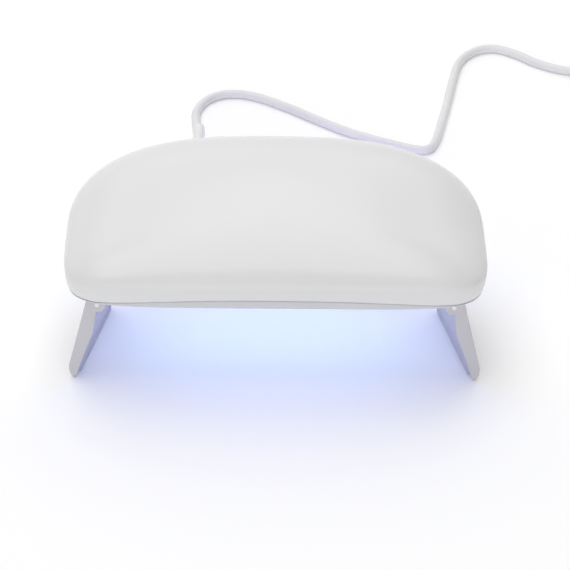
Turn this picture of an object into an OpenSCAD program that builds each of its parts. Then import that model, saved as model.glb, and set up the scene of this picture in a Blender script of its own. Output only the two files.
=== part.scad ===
// Foldable nail lamp: a low domed housing carried on two hinged side legs, with six
// lamps under it, a timer button in its rear wall and a captive USB lead.
// It stands on its open legs with its front lip toward -Y; the table is at z = 0 and
// the origin is under the middle of the housing. Heights inside the housing are
// measured up from its lower rim, which the legs hold at rim_z.

/* [Housing] */
// Width of the housing over its widest line
body_w = 135; // [124:1:146]
// Depth of the housing from its front lip to its rear wall
body_d = 75; // [70:1:82]
// Distance from the front lip back to the widest line
waist_back = 31.5; // [30:0.5:35]
// Squareness of the outline's front corners, as a superellipse exponent
front_n = 6; // [5:0.5:8]
// Squareness of the outline's rear half, as a superellipse exponent
rear_n = 3.1; // [2.7:0.1:3.5]
// Height of the widest line over the lower rim
waist_h = 6.8; // [6:0.1:7.6]
// Height of the dome over the lower rim, on the widest line
crown_h = 22.4; // [21:0.1:25]
// Rise of the dome toward the rear, for each millimetre of depth
crown_rise = 0.22; // [0.18:0.01:0.26]
// Fall of the dome's crown toward the housing's sides
crown_arch = 1.6; // [0.8:0.1:2.4]
// How late the dome turns down toward its edge, as an exponent
crown_n = 3; // [2.8:0.1:3.6]
// Wall thickness of the top cover
wall = 2.2; // [1.6:0.1:2.6]
// How far the side wall draws in below the widest line
tuck = 2.2; // [1:0.1:3.5]
// Height of the top cover's edge over the rim at the sides and the rear
lip_h = 0.5; // [0.3:0.1:1]
// Extra height of that edge in the middle of the front
lip_arch = 2.8; // [1.5:0.1:3.4]
// Half length of the arched stretch of the front edge
lip_span = 58; // [50:1:60]

/* [Bottom cover] */
// Step from the top cover's lower edge in to the bottom rim
rim_step = 0.4; // [0.2:0.1:0.7]
// Step from the top cover's lower edge in to the tongue inside it
tongue_step = 2.5; // [2.4:0.1:2.9]
// Thickness of the tongue
tongue_t = 1.6; // [1.2:0.1:2]
// Height of the tongue over the rim
tongue_h = 6.5; // [6:0.1:8]
// Height of the underside's floor over the rim
floor_h = 3.4; // [3.3:0.1:4.5]
// Thickness of the floor
floor_t = 1.8; // [1.4:0.1:2.4]
// Chamfer on the rim's lower edge
rim_bevel = 0.6; // [0.3:0.1:0.9]

/* [Legs] */
// Height of the rim over the table on open legs
rim_z = 34; // [30:0.5:40]
// Distance of the hinge axis in from the housing's side, at its front end
hinge_inset = 11; // [9.5:0.5:13.5]
// Set-back of the hinge's front end behind the front lip
hinge_back = 4.5; // [4.5:0.1:6]
// Drop of the hinge axis below the rim
hinge_drop = 1.4; // [1.2:0.1:2.2]
// Toe-in of the hinge axes toward the rear, in degrees
leg_toe = 13.5; // [10:0.5:14]
// Outward splay of the open legs, in degrees
leg_splay = 14; // [8:0.5:16]
// Length of a leg along its hinge
leg_len = 46; // [40:1:50]
// Distance from the hinge axis to the leg's outer face
leg_out = 3.75; // [3.6:0.05:4.2]
// Thickness of a leg's plate
leg_plate = 2; // [1.6:0.1:2.4]
// Thickness of the flange round a leg's edge
leg_flange = 2.2; // [1.8:0.1:2.6]
// Depth of the flange at the hinge
flange_root = 3.85; // [3.6:0.05:4.2]
// Greatest depth of the flange
flange_deep = 4.7; // [4.4:0.05:4.8]
// Depth of the flange at the foot
flange_foot = 2.6; // [2.2:0.1:3]
// Distance from the hinge to the flange's greatest depth
flange_peak = 14.7; // [11:0.1:18]
// Set-in of the front and rear edges at the foot
leg_taper = 3.6; // [2.5:0.1:5]
// Thickness of the ribs inside a leg
rib_t = 1.2; // [1:0.1:1.6]
// Height of those ribs over the plate
rib_deep = 1.2; // [0.8:0.1:1.4]
// Number of long ribs inside a leg
rib_count = 3; // [2:1:5]
// Radius of the hinge knuckles on the flanges
knuckle_r = 2.6; // [2.5:0.1:2.9]
// Width of the hinge lugs under the floor
lug_w = 3; // [2:0.1:4]
// Diameter of the hinge pins
pin_d = 3; // [2.4:0.1:3.2]
// How far a pin's head end stands proud of the flange
pin_proud = 0.25; // [0.1:0.05:0.3]

/* [Lamps] */
// Number of lamps across the panel
lamp_cols = 3; // [2:1:3]
// Spacing of the lamps across the panel
lamp_dx = 22; // [20:0.5:22]
// Spacing of the two rows of lamps
lamp_dy = 20; // [19:0.5:21]
// Radius of a reflector cup at its mouth
cup_r = 8.4; // [7:0.1:9]
// Radius of a reflector cup at its lamp
cup_r2 = 4.2; // [3.8:0.1:4.6]
// Height of the reflector cups
cup_h = 4.2; // [3.8:0.1:5]
// Width of the panel's window in the floor
window_w = 66; // [64:1:68]
// Depth of that window
window_d = 42; // [40:1:43]
// Set-back of the window's middle from the housing's middle
window_y = -2; // [-3:0.5:0]
// Side of a square lamp package
chip_w = 5; // [4:0.1:5.4]
// Height of a lamp package
chip_h = 1; // [0.8:0.1:1.3]
// Radius of the clear lens dome on each lamp
lens_r = 2.2; // [1.8:0.1:2.4]
// Width of the panel's ledge round that window
window_ledge = 2; // [1.6:0.1:2.4]
// Distance from the lamp board's screws to its sides
lamp_board_edge = 3.5; // [3:0.1:4]
// Depth of the lamp board
lamp_board_d = 40; // [38:1:41]
// Thickness of the lamp board
lamp_board_t = 1.6; // [1.2:0.1:2]

/* [Timer button] */
// Distance of the button to the right of the middle plane
button_x = 14; // [6:1:20]
// Height of the button over the rim
button_h = 10; // [9.6:0.1:10.4]
// Width of the button
button_w = 9; // [7:0.5:11]
// Height of the button's face
button_d = 5.6; // [5:0.1:6]
// How far the button stands proud of the rear wall
button_proud = 0.9; // [0.7:0.1:1.4]
// Travel of the button
button_travel = 0.5; // [0.3:0.1:0.6]
// Clearance round the button
button_gap = 0.25; // [0.15:0.05:0.4]

/* [Control board] */
// Width of the control board
board_w = 52; // [48:1:54]
// Depth of the control board
board_d = 15.5; // [14:0.5:16]
// Thickness of the control board
board_t = 1.2; // [1:0.1:1.6]
// Height of the control board's lower face over the rim
board_h = 12.6; // [12.4:0.1:13.4]
// Width of the controller chip
control_w = 6; // [5:0.5:7]
// Depth of the controller chip
control_d = 5; // [4:0.5:5]
// Diameter of the two capacitors
can_d = 5; // [4:0.1:5]
// Height of the two capacitors
can_h = 4.5; // [4:0.1:5]

/* [Screws] */
// Diameter of the screws' threads
screw_d = 2.2; // [2:0.1:2.6]
// Diameter of the screws' heads
screw_head_d = 4; // [3.6:0.1:4.4]
// Height of the screws' heads
screw_head_h = 1.3; // [1:0.1:1.6]
// Length of thread that bites into a post
screw_bite = 5; // [4:0.1:5.4]
// Radius of the top cover's screw posts
post_r = 2.9; // [2.6:0.1:3.2]

/* [Lead and plug] */
// Diameter of the lead
lead_d = 3.2; // [2.8:0.1:3.6]
// Height of the lead's exit over the rim
exit_h = 9.5; // [9.4:0.1:10]
// Length of the strain relief outside the housing
relief_len = 9.6; // [8:0.1:12]
// Radius of the strain relief in the wall
relief_r = 3; // [2.8:0.1:3.4]
// Length of the plug's grip
grip_len = 24; // [20:1:30]
// Width of the plug's grip
grip_w = 15; // [14:0.5:16]
// Height of the plug's grip
grip_h = 7.6; // [7:0.2:9]
// Length of the plug's shell beyond the grip
shell_len = 12; // [11.75:0.05:12.5]

/* [Fits] */
// Clearance between a hinge pin and its lug, on the radius
pin_fit = 0.05; // [0.03:0.01:0.1]
// Clearance between moulded pieces that seat in each other
seat_gap = 0.2; // [0.1:0.05:0.3]
// Clearance round the legs' moving edges
swing_gap = 0.4; // [0.3:0.05:0.5]

/* [Hidden] */
$fn = 48;

// Directions round the outline, and rings from the crown to the widest line
steps = 80;
dome_rings = 10;

waist_y = waist_back - body_d / 2;
floor_top = floor_h + floor_t;
hinge_x = body_w / 2 - hinge_inset;
hinge_y = hinge_back - body_d / 2;
hinge_z = rim_z - hinge_drop;
pin_r = pin_d / 2;
lug_r = knuckle_r;
lug_set = leg_flange + 0.3;
lamp_board_h = floor_h + cup_h;
lamp_board_top = lamp_board_h + lamp_board_t;
board_top = board_h + board_t;
boss_r = screw_d / 2 + 1.5;

// Rim and tongue, drawn in from the outline by the side wall's own draw-in and their steps
rim_in = side_in(lip_h) + rim_step;
tongue_in = side_in(lip_h) + tongue_step;

// Lamp board's screws, clear of the panel's ledge, and the width that they give the board
lamp_boss_x = window_w / 2 + window_ledge + boss_r + 0.9;
lamp_board_w = 2 * (lamp_boss_x + lamp_board_edge);

// Lip that holds the button behind the wall, and the switch's plunger
flange_t = 1.2;
button_lip = 1.4;
plunger_r = 1.6;
plunger_proud = 1.2;
flange_y = rear_y(button_x + button_w / 2 + button_lip, button_h + button_d / 2 + button_lip, wall)
    - 0.3 - flange_t;
cap_rear = rear_y(button_x, button_h) + button_proud;
switch_rear = flange_y - 0.55 - plunger_proud;

// Control board, set against the switch, and its front left corner
board_x = 8;
board_y = flange_y - 0.85 - board_d / 2;
corner_x = board_x - board_w / 2;
corner_y = board_y - board_d / 2;

// Lead's exit through the rear wall, its collar inside, its clamp and its inner end
exit_x = -26;
collar_r = 4.2;
collar_t = 1.2;
relief_y = rear_y(exit_x, exit_h);
collar_y = rear_y(exit_x - collar_r, exit_h + collar_r, wall) - 0.2 - collar_t;
clamp_y = relief_y - 11.8;
tail_y = clamp_y - 4;
lead_r = lead_d / 2;

// Outline and dome

// Outline point for direction t, drawn in by inset
function plan_pt(t, inset = 0) =
    let (c = cos(t), s = sin(t))
    let (n = s < 0 ? front_n : rear_n)
    let (b = (s < 0 ? waist_back : body_d - waist_back) - inset)
    let (k = pow(pow(abs(c), n) + pow(abs(s), n), -1 / n))
    [(body_w / 2 - inset) * c * k, waist_y + b * s * k];

// Height of the crown over the widest line, above a point in plan
function crown(x, y, inset = 0) =
    crown_h - inset - waist_h + crown_rise * (y - waist_y) - crown_arch * pow(2 * x / body_w, 2);

// Outline's y at x on the rear side, at a height over the widest line
function rear_y(x, h, inset = 0) =
    let (top = crown(x, body_d / 2, inset))
    let (share = pow(1 - pow(max(0, h - waist_h) / top, 2), 1 / crown_n))
    let (b = body_d - waist_back - inset)
    waist_y + b * share * pow(1 - pow(abs(x) / (share * (body_w / 2 - inset)), rear_n), 1 / rear_n);

// Draw-in of the side wall at a height under the widest line
function side_in(h) = tuck * (1 - sqrt(1 - pow((waist_h - h) / (waist_h + 1), 2)));

// Height of the top cover's lower edge over the rim, for direction t
function lip(t) =
    let (p = plan_pt(t))
    let (arch = p[1] < waist_y ? max(0, 1 - pow(abs(p[0]) / lip_span, 2.6)) : 0)
    lip_h + lip_arch * arch;

// Ring of the dome, a degrees down from its crown
function dome_ring(a, inset) = [
    for (i = [0:steps - 1])
        let (p = plan_pt(i * 360 / steps, inset), share = pow(sin(a), 2 / crown_n))
        let (x = p[0] * share, y = waist_y + (p[1] - waist_y) * share)
        [x, y, rim_z + waist_h + crown(x, y, inset) * cos(a)]
];

// Ring of the side wall, a share f of the way down from the widest line to the edge
function side_ring(f, inset) = [
    for (i = [0:steps - 1])
        let (t = i * 360 / steps, h = waist_h + (lip(t) - waist_h) * f)
        let (p = plan_pt(t, inset + side_in(h)))
        [p[0], p[1], rim_z + h]
];

// Rings stacked into one closed skin, each end closed by a fan to its middle point
module skin_rings(rings, first, last) {
    n = len(rings[0]);
    m = len(rings);
    points = concat([for (r = rings) each r], [first, last]);
    faces = concat(
        [for (j = [0:m - 2], i = [0:n - 1])
            [j * n + i, (j + 1) * n + (i + 1) % n, j * n + (i + 1) % n]],
        [for (j = [0:m - 2], i = [0:n - 1])
            [j * n + i, (j + 1) * n + i, (j + 1) * n + (i + 1) % n]],
        [for (i = [0:n - 1]) [n * m, i, (i + 1) % n]],
        [for (i = [0:n - 1]) [n * m + 1, (m - 1) * n + (i + 1) % n, (m - 1) * n + i]]
    );
    polyhedron(points = points, faces = [for (f = faces) [f[0], f[2], f[1]]], convexity = 4);
}

// Open shell of the top cover: outer dome, its lower edge and the inner dome
module cover_shell() {
    outer = concat(
        [for (k = [1:dome_rings]) dome_ring(k * 90 / dome_rings, 0)],
        [for (k = [1:3]) side_ring(k / 3, 0)]
    );
    inner = concat(
        [for (k = [2:-1:0]) side_ring(k / 2, wall)],
        [for (k = [5:-1:1]) dome_ring(k * 90 / 6, wall)]
    );
    skin_rings(
        concat(outer, inner),
        [0, waist_y, rim_z + crown_h],
        [0, waist_y, rim_z + crown_h - wall]
    );
}

// Body under the dome, drawn in by inset, that the screw posts end in
module dome_core(inset) {
    skin_rings(
        concat(
            [for (k = [1:6]) dome_ring(k * 15, inset)],
            [[for (i = [0:steps - 1]) concat(plan_pt(i * 360 / steps, inset), [rim_z])]]
        ),
        [0, waist_y, rim_z + crown_h - inset],
        [0, waist_y, rim_z]
    );
}

// Flat shape of the outline, drawn in by inset
module plan_shape(inset) {
    polygon([for (i = [0:steps - 1]) plan_pt(i * 360 / steps, inset)]);
}

// Small shapes

module centred_box(w, d, h) {
    translate([-w / 2, -d / 2, 0]) cube([w, d, h]);
}

// Upright block with round corners
module round_box(w, d, h, r) {
    translate([-w / 2 + r, -d / 2, 0]) cube([w - 2 * r, d, h]);
    translate([-w / 2, -d / 2 + r, 0]) cube([w, d - 2 * r, h]);
    for (x = [-1, 1], y = [-1, 1])
        translate([x * (w / 2 - r), y * (d / 2 - r), 0]) cylinder(h = h, r = r);
}

// Bar along +Y with round ends, w wide and d high
module round_bar(w, d, length) {
    for (x = [-1, 1])
        translate([x * (w - d) / 2, 0, 0]) rotate([-90, 0, 0]) cylinder(h = length, d = d);
    translate([-(w - d) / 2, 0, -d / 2]) cube([w - d, length, d]);
}

// Screw with its head's underside at z = 0 and its thread downward
module screw(length) {
    difference() {
        cylinder(h = screw_head_h, d = screw_head_d);
        for (a = [0, 90]) rotate([0, 0, a])
            translate([0, 0, screw_head_h - 0.6]) centred_box(2.4, 0.5, 1);
    }
    translate([0, 0, -length]) cylinder(h = length + 0.1, d = screw_d);
}

// Swept cords and wires

function unit(v) = v / norm(v);

function tangent(path, i) =
    unit(path[min(i + 1, len(path) - 1)] - path[max(i - 1, 0)]);

// Point on the smooth curve between p1 and p2, with their neighbours p0 and p3
function spline(p0, p1, p2, p3, t) =
    0.5 * (2 * p1 + (p2 - p0) * t + (2 * p0 - 5 * p1 + 4 * p2 - p3) * t * t
        + (3 * p1 - p0 - 3 * p2 + p3) * t * t * t);

// Smooth curve through a route's points, with cuts points for each span
function smooth(route, cuts) =
    let (n = len(route))
    concat([
        for (i = [0:n - 2], j = [0:cuts - 1])
            spline(route[max(0, i - 1)], route[i], route[i + 1], route[min(n - 1, i + 2)], j / cuts)
    ], [route[n - 1]]);

function path_length(path) =
    len(path) < 2 ? 0 : [for (i = [0:len(path) - 2]) norm(path[i + 1] - path[i])]
        * [for (i = [0:len(path) - 2]) 1];

// Round tube along a path that never runs straight up
module tube(path, d, sides) {
    rings = [
        for (i = [0:len(path) - 1])
            let (t = tangent(path, i), u = unit(cross([0, 0, 1], t)), v = cross(t, u))
            [for (k = [0:sides - 1])
                path[i] + d / 2 * (cos(k * 360 / sides) * u + sin(k * 360 / sides) * v)]
    ];
    skin_rings([for (i = [len(rings) - 1:-1:0]) rings[i]], path[len(path) - 1], path[0]);
}

// Legs and hinge pins

// Puts a piece on a hinge: x outward, y rearward along the hinge, z up from its axis
module on_hinge(side) {
    mirror([side < 0 ? 1 : 0, 0, 0])
        translate([hinge_x, hinge_y, hinge_z]) rotate([0, 0, leg_toe]) children();
}

leg_reach = hinge_z / cos(leg_splay) + 2;
leg_top = 2;

function flange_depth(u) =
    u < flange_peak
        ? flange_root + (flange_deep - flange_root) * max(0, u) / flange_peak
        : flange_deep - (flange_deep - flange_foot)
            * (1 - pow(max(0, 1 - (u - flange_peak) / (leg_reach - 2 - flange_peak)), 1.3));

// Side profile of a leg
module leg_profile() {
    polygon(concat(
        [[leg_out - 0.7, leg_top], [leg_out, leg_top - 0.9], [leg_out, -leg_reach + 6.5]],
        [[leg_out - 1.25, -leg_reach + 2.6], [leg_out - 1.4, -leg_reach]],
        [for (k = [12:-1:0])
            let (u = leg_reach * k / 12)
            [leg_out - flange_depth(u), -u]],
        [[leg_out - flange_root, leg_top - 0.8], [leg_out - flange_root + 0.8, leg_top]]
    ));
}

// Outline of a leg seen square to its plate, drawn in by inset
module leg_outline(inset = 0) {
    r = max(0.6, 5 - inset);
    foot = -leg_reach + (inset > 0 ? inset + 2.2 : 0);
    side = leg_taper * (-foot) / leg_reach + inset;
    bend = min(0, leg_top - inset - 0.5);
    polygon(concat(
        [[leg_len - inset, leg_top - inset], [inset, leg_top - inset], [inset, bend]],
        [for (a = [180:15:270]) [side + r + r * cos(a), foot + r + r * sin(a)]],
        [for (a = [270:15:360]) [leg_len - side - r + r * cos(a), foot + r + r * sin(a)]],
        [[leg_len - inset, bend]]
    ));
}

module leg_prism() {
    translate([0, leg_len + 1, 0]) rotate([90, 0, 0]) linear_extrude(leg_len + 2) leg_profile();
}

// Plate shape of the leg from one depth to another
module leg_slab(from_x, to_x, inset = 0) {
    translate([from_x, 0, 0]) rotate([90, 0, 90]) linear_extrude(to_x - from_x) leg_outline(inset);
}

// Leg in its own frame: plate with a deep edge flange, ribbed inside, knuckles at its top
module leg_blank() {
    floor_x = leg_out - leg_plate;
    rib_x = floor_x - rib_deep;
    intersection() {
        leg_prism();
        difference() {
            leg_slab(-6, leg_out + 1);
            difference() {
                leg_slab(-7, floor_x, leg_flange);
                for (k = [1:rib_count])
                    translate([rib_x, leg_len * k / (rib_count + 1) - rib_t / 2, -leg_reach - 2])
                        cube([rib_deep + 1, rib_t, leg_reach + 6]);
                translate([rib_x, -1, -12]) cube([rib_deep + 1, leg_len + 2, rib_t]);
            }
        }
    }
    for (y = [0, leg_len - leg_flange])
        translate([0, y, 0]) rotate([-90, 0, 0]) cylinder(h = leg_flange, r = knuckle_r);
}

// Pockets in the leg's plate for the lugs, and the holes for its pins
module leg_cuts() {
    for (y = [leg_flange, leg_len - leg_flange - lug_w - 0.6])
        translate([0, y, 0]) rotate([-90, 0, 0]) cylinder(h = lug_w + 0.6, r = lug_r + 0.35);
    for (y = [-1, leg_len - leg_flange - 1])
        translate([0, y, 0]) rotate([-90, 0, 0]) cylinder(h = leg_flange + 2, r = pin_r);
}

// Space that a leg's top edge swings through
module swing_space(side) {
    on_hinge(side) translate([0, -0.5, 0]) rotate([-90, 0, 0])
        cylinder(h = leg_len + 1, r = norm([leg_out, leg_top - 0.9]) + swing_gap);
}

module leg(side) {
    color("whitesmoke") difference() {
        on_hinge(side) rotate([0, -leg_splay, 0]) difference() {
            leg_blank();
            leg_cuts();
        }
        translate([-body_w, -body_d, -20]) cube([2 * body_w, 2 * body_d, 20]);
    }
}

module left_leg() leg(-1);

module right_leg() leg(1);

module hinge_pins(side) {
    reach = lug_set + lug_w + 0.5;
    color("silver") on_hinge(side) {
        translate([0, -pin_proud, 0]) rotate([-90, 0, 0])
            cylinder(h = reach + pin_proud, r = pin_r);
        translate([0, leg_len - reach, 0]) rotate([-90, 0, 0])
            cylinder(h = reach + pin_proud, r = pin_r);
    }
}

module left_hinge_pins() hinge_pins(-1);

module right_hinge_pins() hinge_pins(1);

// Housing

// Places of the screws that hold the covers together
cover_screw_at = [
    for (x = [-1, 1]) each [[24 * x, 8.9 - body_d / 2], [(lamp_board_w / 2 + 5) * x, body_d / 2 - 19.5]]
];
// Places of the screws that hold the lamp board and the control board
lamp_boss_at = [
    for (x = [-1, 1], y = [-1, 1])
        [x * lamp_boss_x, window_y + y * (lamp_board_d / 2 - 5)]
];
board_boss_at = [for (x = [4, board_w - 4]) [corner_x + x, board_y + board_d / 2 - 4]];

module button_bar(extra, length) {
    round_bar(button_w + 2 * extra, button_d + 2 * extra, length);
}

module top_cover() {
    color("white") difference() {
        union() {
            cover_shell();
            intersection() {
                dome_core(wall / 2);
                for (p = cover_screw_at)
                    translate([p[0], p[1], rim_z + floor_top]) cylinder(h = 2 * crown_h, r = post_r);
            }
        }
        for (p = cover_screw_at)
            translate([p[0], p[1], rim_z + floor_top - 1])
                cylinder(h = 1 + screw_bite + 0.6, d = screw_d);
        translate([button_x, flange_y - 2, rim_z + button_h]) button_bar(button_gap, 12);
        translate([exit_x, collar_y - 2, rim_z + exit_h]) rotate([-90, 0, 0])
            cylinder(h = 12, r = relief_r);
        for (side = [-1, 1]) swing_space(side);
    }
}

// Rim under the top cover's edge, its top following the edge's arch, and the tongue inside it
module rim_ring() {
    function ring(inset, f, z) = [
        for (i = [0:steps - 1])
            let (t = i * 360 / steps, p = plan_pt(t, inset))
            [p[0], p[1], rim_z + z + f * lip(t)]
    ];
    rows = [
        ring(tongue_in + tongue_t, 0, 0), ring(rim_in + rim_bevel, 0, 0),
        ring(rim_in, 0.5, 0), ring(rim_in, 1, -0.1), ring(tongue_in, 1, -0.1),
        ring(tongue_in, 0, tongue_h), ring(tongue_in + tongue_t, 0, tongue_h)
    ];
    n = steps;
    m = len(rows);
    polyhedron(
        points = [for (r = rows) each r],
        faces = concat(
            [for (j = [0:m - 1], i = [0:n - 1])
                [j * n + i, (j + 1) % m * n + (i + 1) % n, j * n + (i + 1) % n]],
            [for (j = [0:m - 1], i = [0:n - 1])
                [j * n + i, (j + 1) % m * n + i, (j + 1) % m * n + (i + 1) % n]]
        ),
        convexity = 6
    );
}

// Hinge lugs and the pad that stops the open leg, in the hinge's own frame
module hinge_lugs() {
    rise = hinge_drop + floor_h + 0.5;
    for (y = [lug_set, leg_len - lug_set - lug_w]) translate([0, y, 0]) {
        rotate([-90, 0, 0]) cylinder(h = lug_w, r = lug_r);
        translate([-lug_r, 0, 0]) cube([lug_r + 1, lug_w, rise]);
    }
    translate([1, leg_len / 2 - 8, leg_stop_z]) cube([3.4, 16, rise - leg_stop_z]);
}

// Height over the hinge axis of the open leg's top edge, and of the pad over it
leg_edge_z = max(
    leg_top * cos(leg_splay) + (leg_out - 0.7) * sin(leg_splay),
    (leg_top - 0.9) * cos(leg_splay) + leg_out * sin(leg_splay)
);
leg_stop_z = leg_edge_z + 0.05;

// Rim, tongue and floor, hollowed along the hinges for the legs' swing
module bottom_shell() {
    difference() {
        union() {
            rim_ring();
            translate([0, 0, rim_z + floor_h])
                linear_extrude(floor_t) plan_shape(tongue_in + 0.8);
        }
        for (side = [-1, 1]) swing_space(side);
        translate([exit_x, collar_y, rim_z + exit_h - collar_r - 0.3])
            centred_box(2 * collar_r + 1.6, 6, 6);
        translate([button_x, flange_y, rim_z + button_h - button_d / 2 - button_lip - 0.4])
            centred_box(button_w + 2 * button_lip + 1, 6, 6);
    }
}

module bottom_cover() {
    color("gainsboro") difference() {
        union() {
            bottom_shell();
            for (p = lamp_boss_at)
                translate([p[0], p[1], rim_z + floor_h])
                    cylinder(h = lamp_board_h - floor_h, r = boss_r);
            for (p = board_boss_at)
                translate([p[0], p[1], rim_z + floor_h]) cylinder(h = board_h - floor_h, r = boss_r);
            for (side = [-1, 1]) on_hinge(side) hinge_lugs();
            translate([exit_x, clamp_y, rim_z + floor_h])
                centred_box(16, 5.6, exit_h - 0.3 - floor_h);
        }
        translate([0, window_y, rim_z + floor_h - 1]) round_box(window_w, window_d, floor_t + 2, 4);
        for (p = lamp_boss_at)
            translate([p[0], p[1], rim_z + floor_h + 0.8]) cylinder(h = cup_h, d = screw_d);
        for (p = board_boss_at)
            translate([p[0], p[1], rim_z + floor_h + 4]) cylinder(h = board_h, d = screw_d);
        for (p = cover_screw_at)
            translate([p[0], p[1], rim_z + floor_h - 1])
                cylinder(h = floor_t + 2, r = screw_d / 2 + 0.15);
        for (x = [-5, 5])
            translate([exit_x + x, clamp_y, rim_z + floor_top]) cylinder(h = 9, d = screw_d);
        translate([exit_x, clamp_y - 4.5, rim_z + exit_h]) rotate([-90, 0, 0])
            cylinder(h = 9, r = lead_d / 2);
        for (side = [-1, 1], y = [lug_set, leg_len - lug_set - lug_w]) on_hinge(side)
            translate([0, y - 1, 0]) rotate([-90, 0, 0])
                cylinder(h = lug_w + 2, r = pin_r + pin_fit);
    }
}

// Lamps

lamp_at = [
    for (i = [0:lamp_cols - 1], j = [-0.5, 0.5])
        [(i - (lamp_cols - 1) / 2) * lamp_dx, window_y + j * lamp_dy]
];

module reflector_panel() {
    color("lightsteelblue") difference() {
        union() {
            translate([0, window_y, rim_z + floor_h])
                round_box(window_w - 2 * seat_gap, window_d - 2 * seat_gap, floor_t + 0.6, 3.8);
            translate([0, window_y, rim_z + floor_top + 0.02])
                round_box(window_w + 2 * window_ledge, window_d + 2 * window_ledge, flange_t, 4);
            for (p = lamp_at)
                translate([p[0], p[1], rim_z + floor_h])
                    cylinder(h = cup_h - 0.05, r1 = cup_r + 1.2, r2 = cup_r2 + 1.2);
        }
        for (p = lamp_at)
            translate([p[0], p[1], rim_z + floor_h - 0.01])
                cylinder(h = cup_h + 0.02, r1 = cup_r, r2 = cup_r2);
    }
}

module lamp_board() {
    color("silver") difference() {
        translate([0, window_y, rim_z + lamp_board_h])
            round_box(lamp_board_w, lamp_board_d, lamp_board_t, 2);
        for (p = lamp_boss_at)
            translate([p[0], p[1], rim_z + lamp_board_h - 1])
                cylinder(h = lamp_board_t + 2, r = screw_d / 2 + 0.15);
    }
}

module lamp_packages() {
    color("lightyellow") for (p = lamp_at)
        translate([p[0], p[1], rim_z + lamp_board_h - chip_h]) centred_box(chip_w, chip_w, chip_h);
}

module lamp_lenses() {
    color("lavender") for (p = lamp_at)
        translate([p[0], p[1], rim_z + lamp_board_h - chip_h]) intersection() {
            sphere(r = lens_r);
            translate([0, 0, -lens_r - 1]) centred_box(2 * lens_r + 1, 2 * lens_r + 1, lens_r + 1);
        }
}

// Two wires in a bend from the socket on the lamp board to the one on the control board
module lamp_wires() {
    from = [lamp_socket[0] - socket_w / 2, lamp_socket[1] - 0.8, rim_z + lamp_board_top + 1.4];
    to = [board_socket[0] - socket_w / 2, board_socket[1] + 0.8, rim_z + board_top + 1.6];
    for (k = [0, 1])
        color(k == 0 ? "firebrick" : "dimgray")
            tube(smooth([
                from + [0, 1.6 * k, 0], from + [-1.5, 1.6 * k, 0],
                from + [1.6 * k - 5.5, 4.8, 1.4],
                [from[0] + 1.4 * k - 3.9, to[1] - 1.2 * k - 3.4, to[2] - 0.8],
                to + [-7.8, -1.6 * k, 0], to + [0, -1.6 * k, 0]
            ], 3), 1.1, 6);
}

// Control board, switch and button

module control_board() {
    color("seagreen") difference() {
        translate([board_x, board_y, rim_z + board_h]) round_box(board_w, board_d, board_t, 1.5);
        for (p = board_boss_at)
            translate([p[0], p[1], rim_z + board_h - 1]) cylinder(h = board_t + 2, r = screw_d / 2 + 0.15);
    }
}

// Controller chip, two smaller chips and two capacitors on the board's upper face
module board_parts() {
    translate([board_x, board_y, rim_z + board_top]) {
        color("dimgray") {
            translate([-1.5 * can_d + 1.5, -1.25, 0]) centred_box(control_w, control_d, can_h / 3);
            translate([can_d, -3.25, 0]) centred_box(control_w - 1, control_d - 1, can_h / 3);
            translate([2.8 * can_d, 2.75, 0]) centred_box(control_w / 2, control_w / 2, can_h / 4);
        }
        color("slategray") for (x = [-3, 3.8])
            translate([x * can_d, -2.75, 0]) cylinder(h = can_h, d = can_d);
    }
}

module power_coil() {
    color("darkslategray") translate([board_x + 12.2, board_y - 3.85, rim_z + board_top])
        difference() {
            centred_box(5.6, 5.6, 3);
            translate([0, 0, 2.6]) cylinder(h = 1, r = 1.8);
        }
}

// Sockets of the lamp wires, one on each board
socket_w = 4.6;
lamp_socket = [14.8 - lamp_board_w / 2, window_y + 11];
board_socket = [corner_x + 3.1, board_y - 2.25];

module wire_sockets() {
    color("ivory") {
        translate([lamp_socket[0], lamp_socket[1], rim_z + lamp_board_top])
            centred_box(socket_w, 6, 3);
        translate([board_socket[0], board_socket[1], rim_z + board_top])
            centred_box(socket_w, 6, 3.4);
    }
}

// Switch under the board's rear edge, bored for its plunger
module tact_switch() {
    color("black") difference() {
        translate([button_x, switch_rear - 2, rim_z + button_h - 2.2])
            centred_box(6, 4, board_h - button_h + 2.2);
        translate([button_x, switch_rear - 0.8 - button_travel, rim_z + button_h])
            rotate([-90, 0, 0]) cylinder(h = 3, r = plunger_r + 0.05);
    }
}

module switch_plunger() {
    color("darkorange") translate([button_x, switch_rear - 0.6, rim_z + button_h])
        rotate([-90, 0, 0]) cylinder(h = plunger_proud + 0.6, r = plunger_r);
}

// Cap through the wall, the lip that holds it inside, and the stem to the plunger
module timer_button() {
    color("lightgray") translate([button_x, flange_y, rim_z + button_h]) {
        button_bar(0, cap_rear - flange_y);
        button_bar(button_lip, flange_t);
        translate([0, -0.5, 0]) rotate([-90, 0, 0]) cylinder(h = 1, r = 1.8);
    }
}

// Lead inside the housing, strain relief and clamp

// Boot outside the wall, neck through it and collar behind it
module strain_relief() {
    color("white") translate([exit_x, 0, rim_z + exit_h]) {
        difference() {
            translate([0, relief_y - 1.4, 0]) rotate([-90, 0, 0])
                cylinder(h = relief_len + 1.4, r1 = relief_r, r2 = lead_r + 0.7);
            for (k = [0:3], a = [0, 180]) rotate([0, a + (k % 2) * 90, 0])
                translate([-3, relief_y + 2 + 1.8 * k, lead_r + 0.1]) cube([6, 0.8, 3]);
        }
        translate([0, collar_y, 0]) rotate([-90, 0, 0])
            cylinder(h = relief_y - 1.3 - collar_y, r = relief_r);
        translate([0, collar_y, 0]) rotate([-90, 0, 0]) cylinder(h = collar_t, r = collar_r);
    }
}

module lead_tail() {
    color("white") translate([exit_x, tail_y, rim_z + exit_h]) rotate([-90, 0, 0])
        cylinder(h = collar_y - tail_y, r = lead_r);
}

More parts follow.
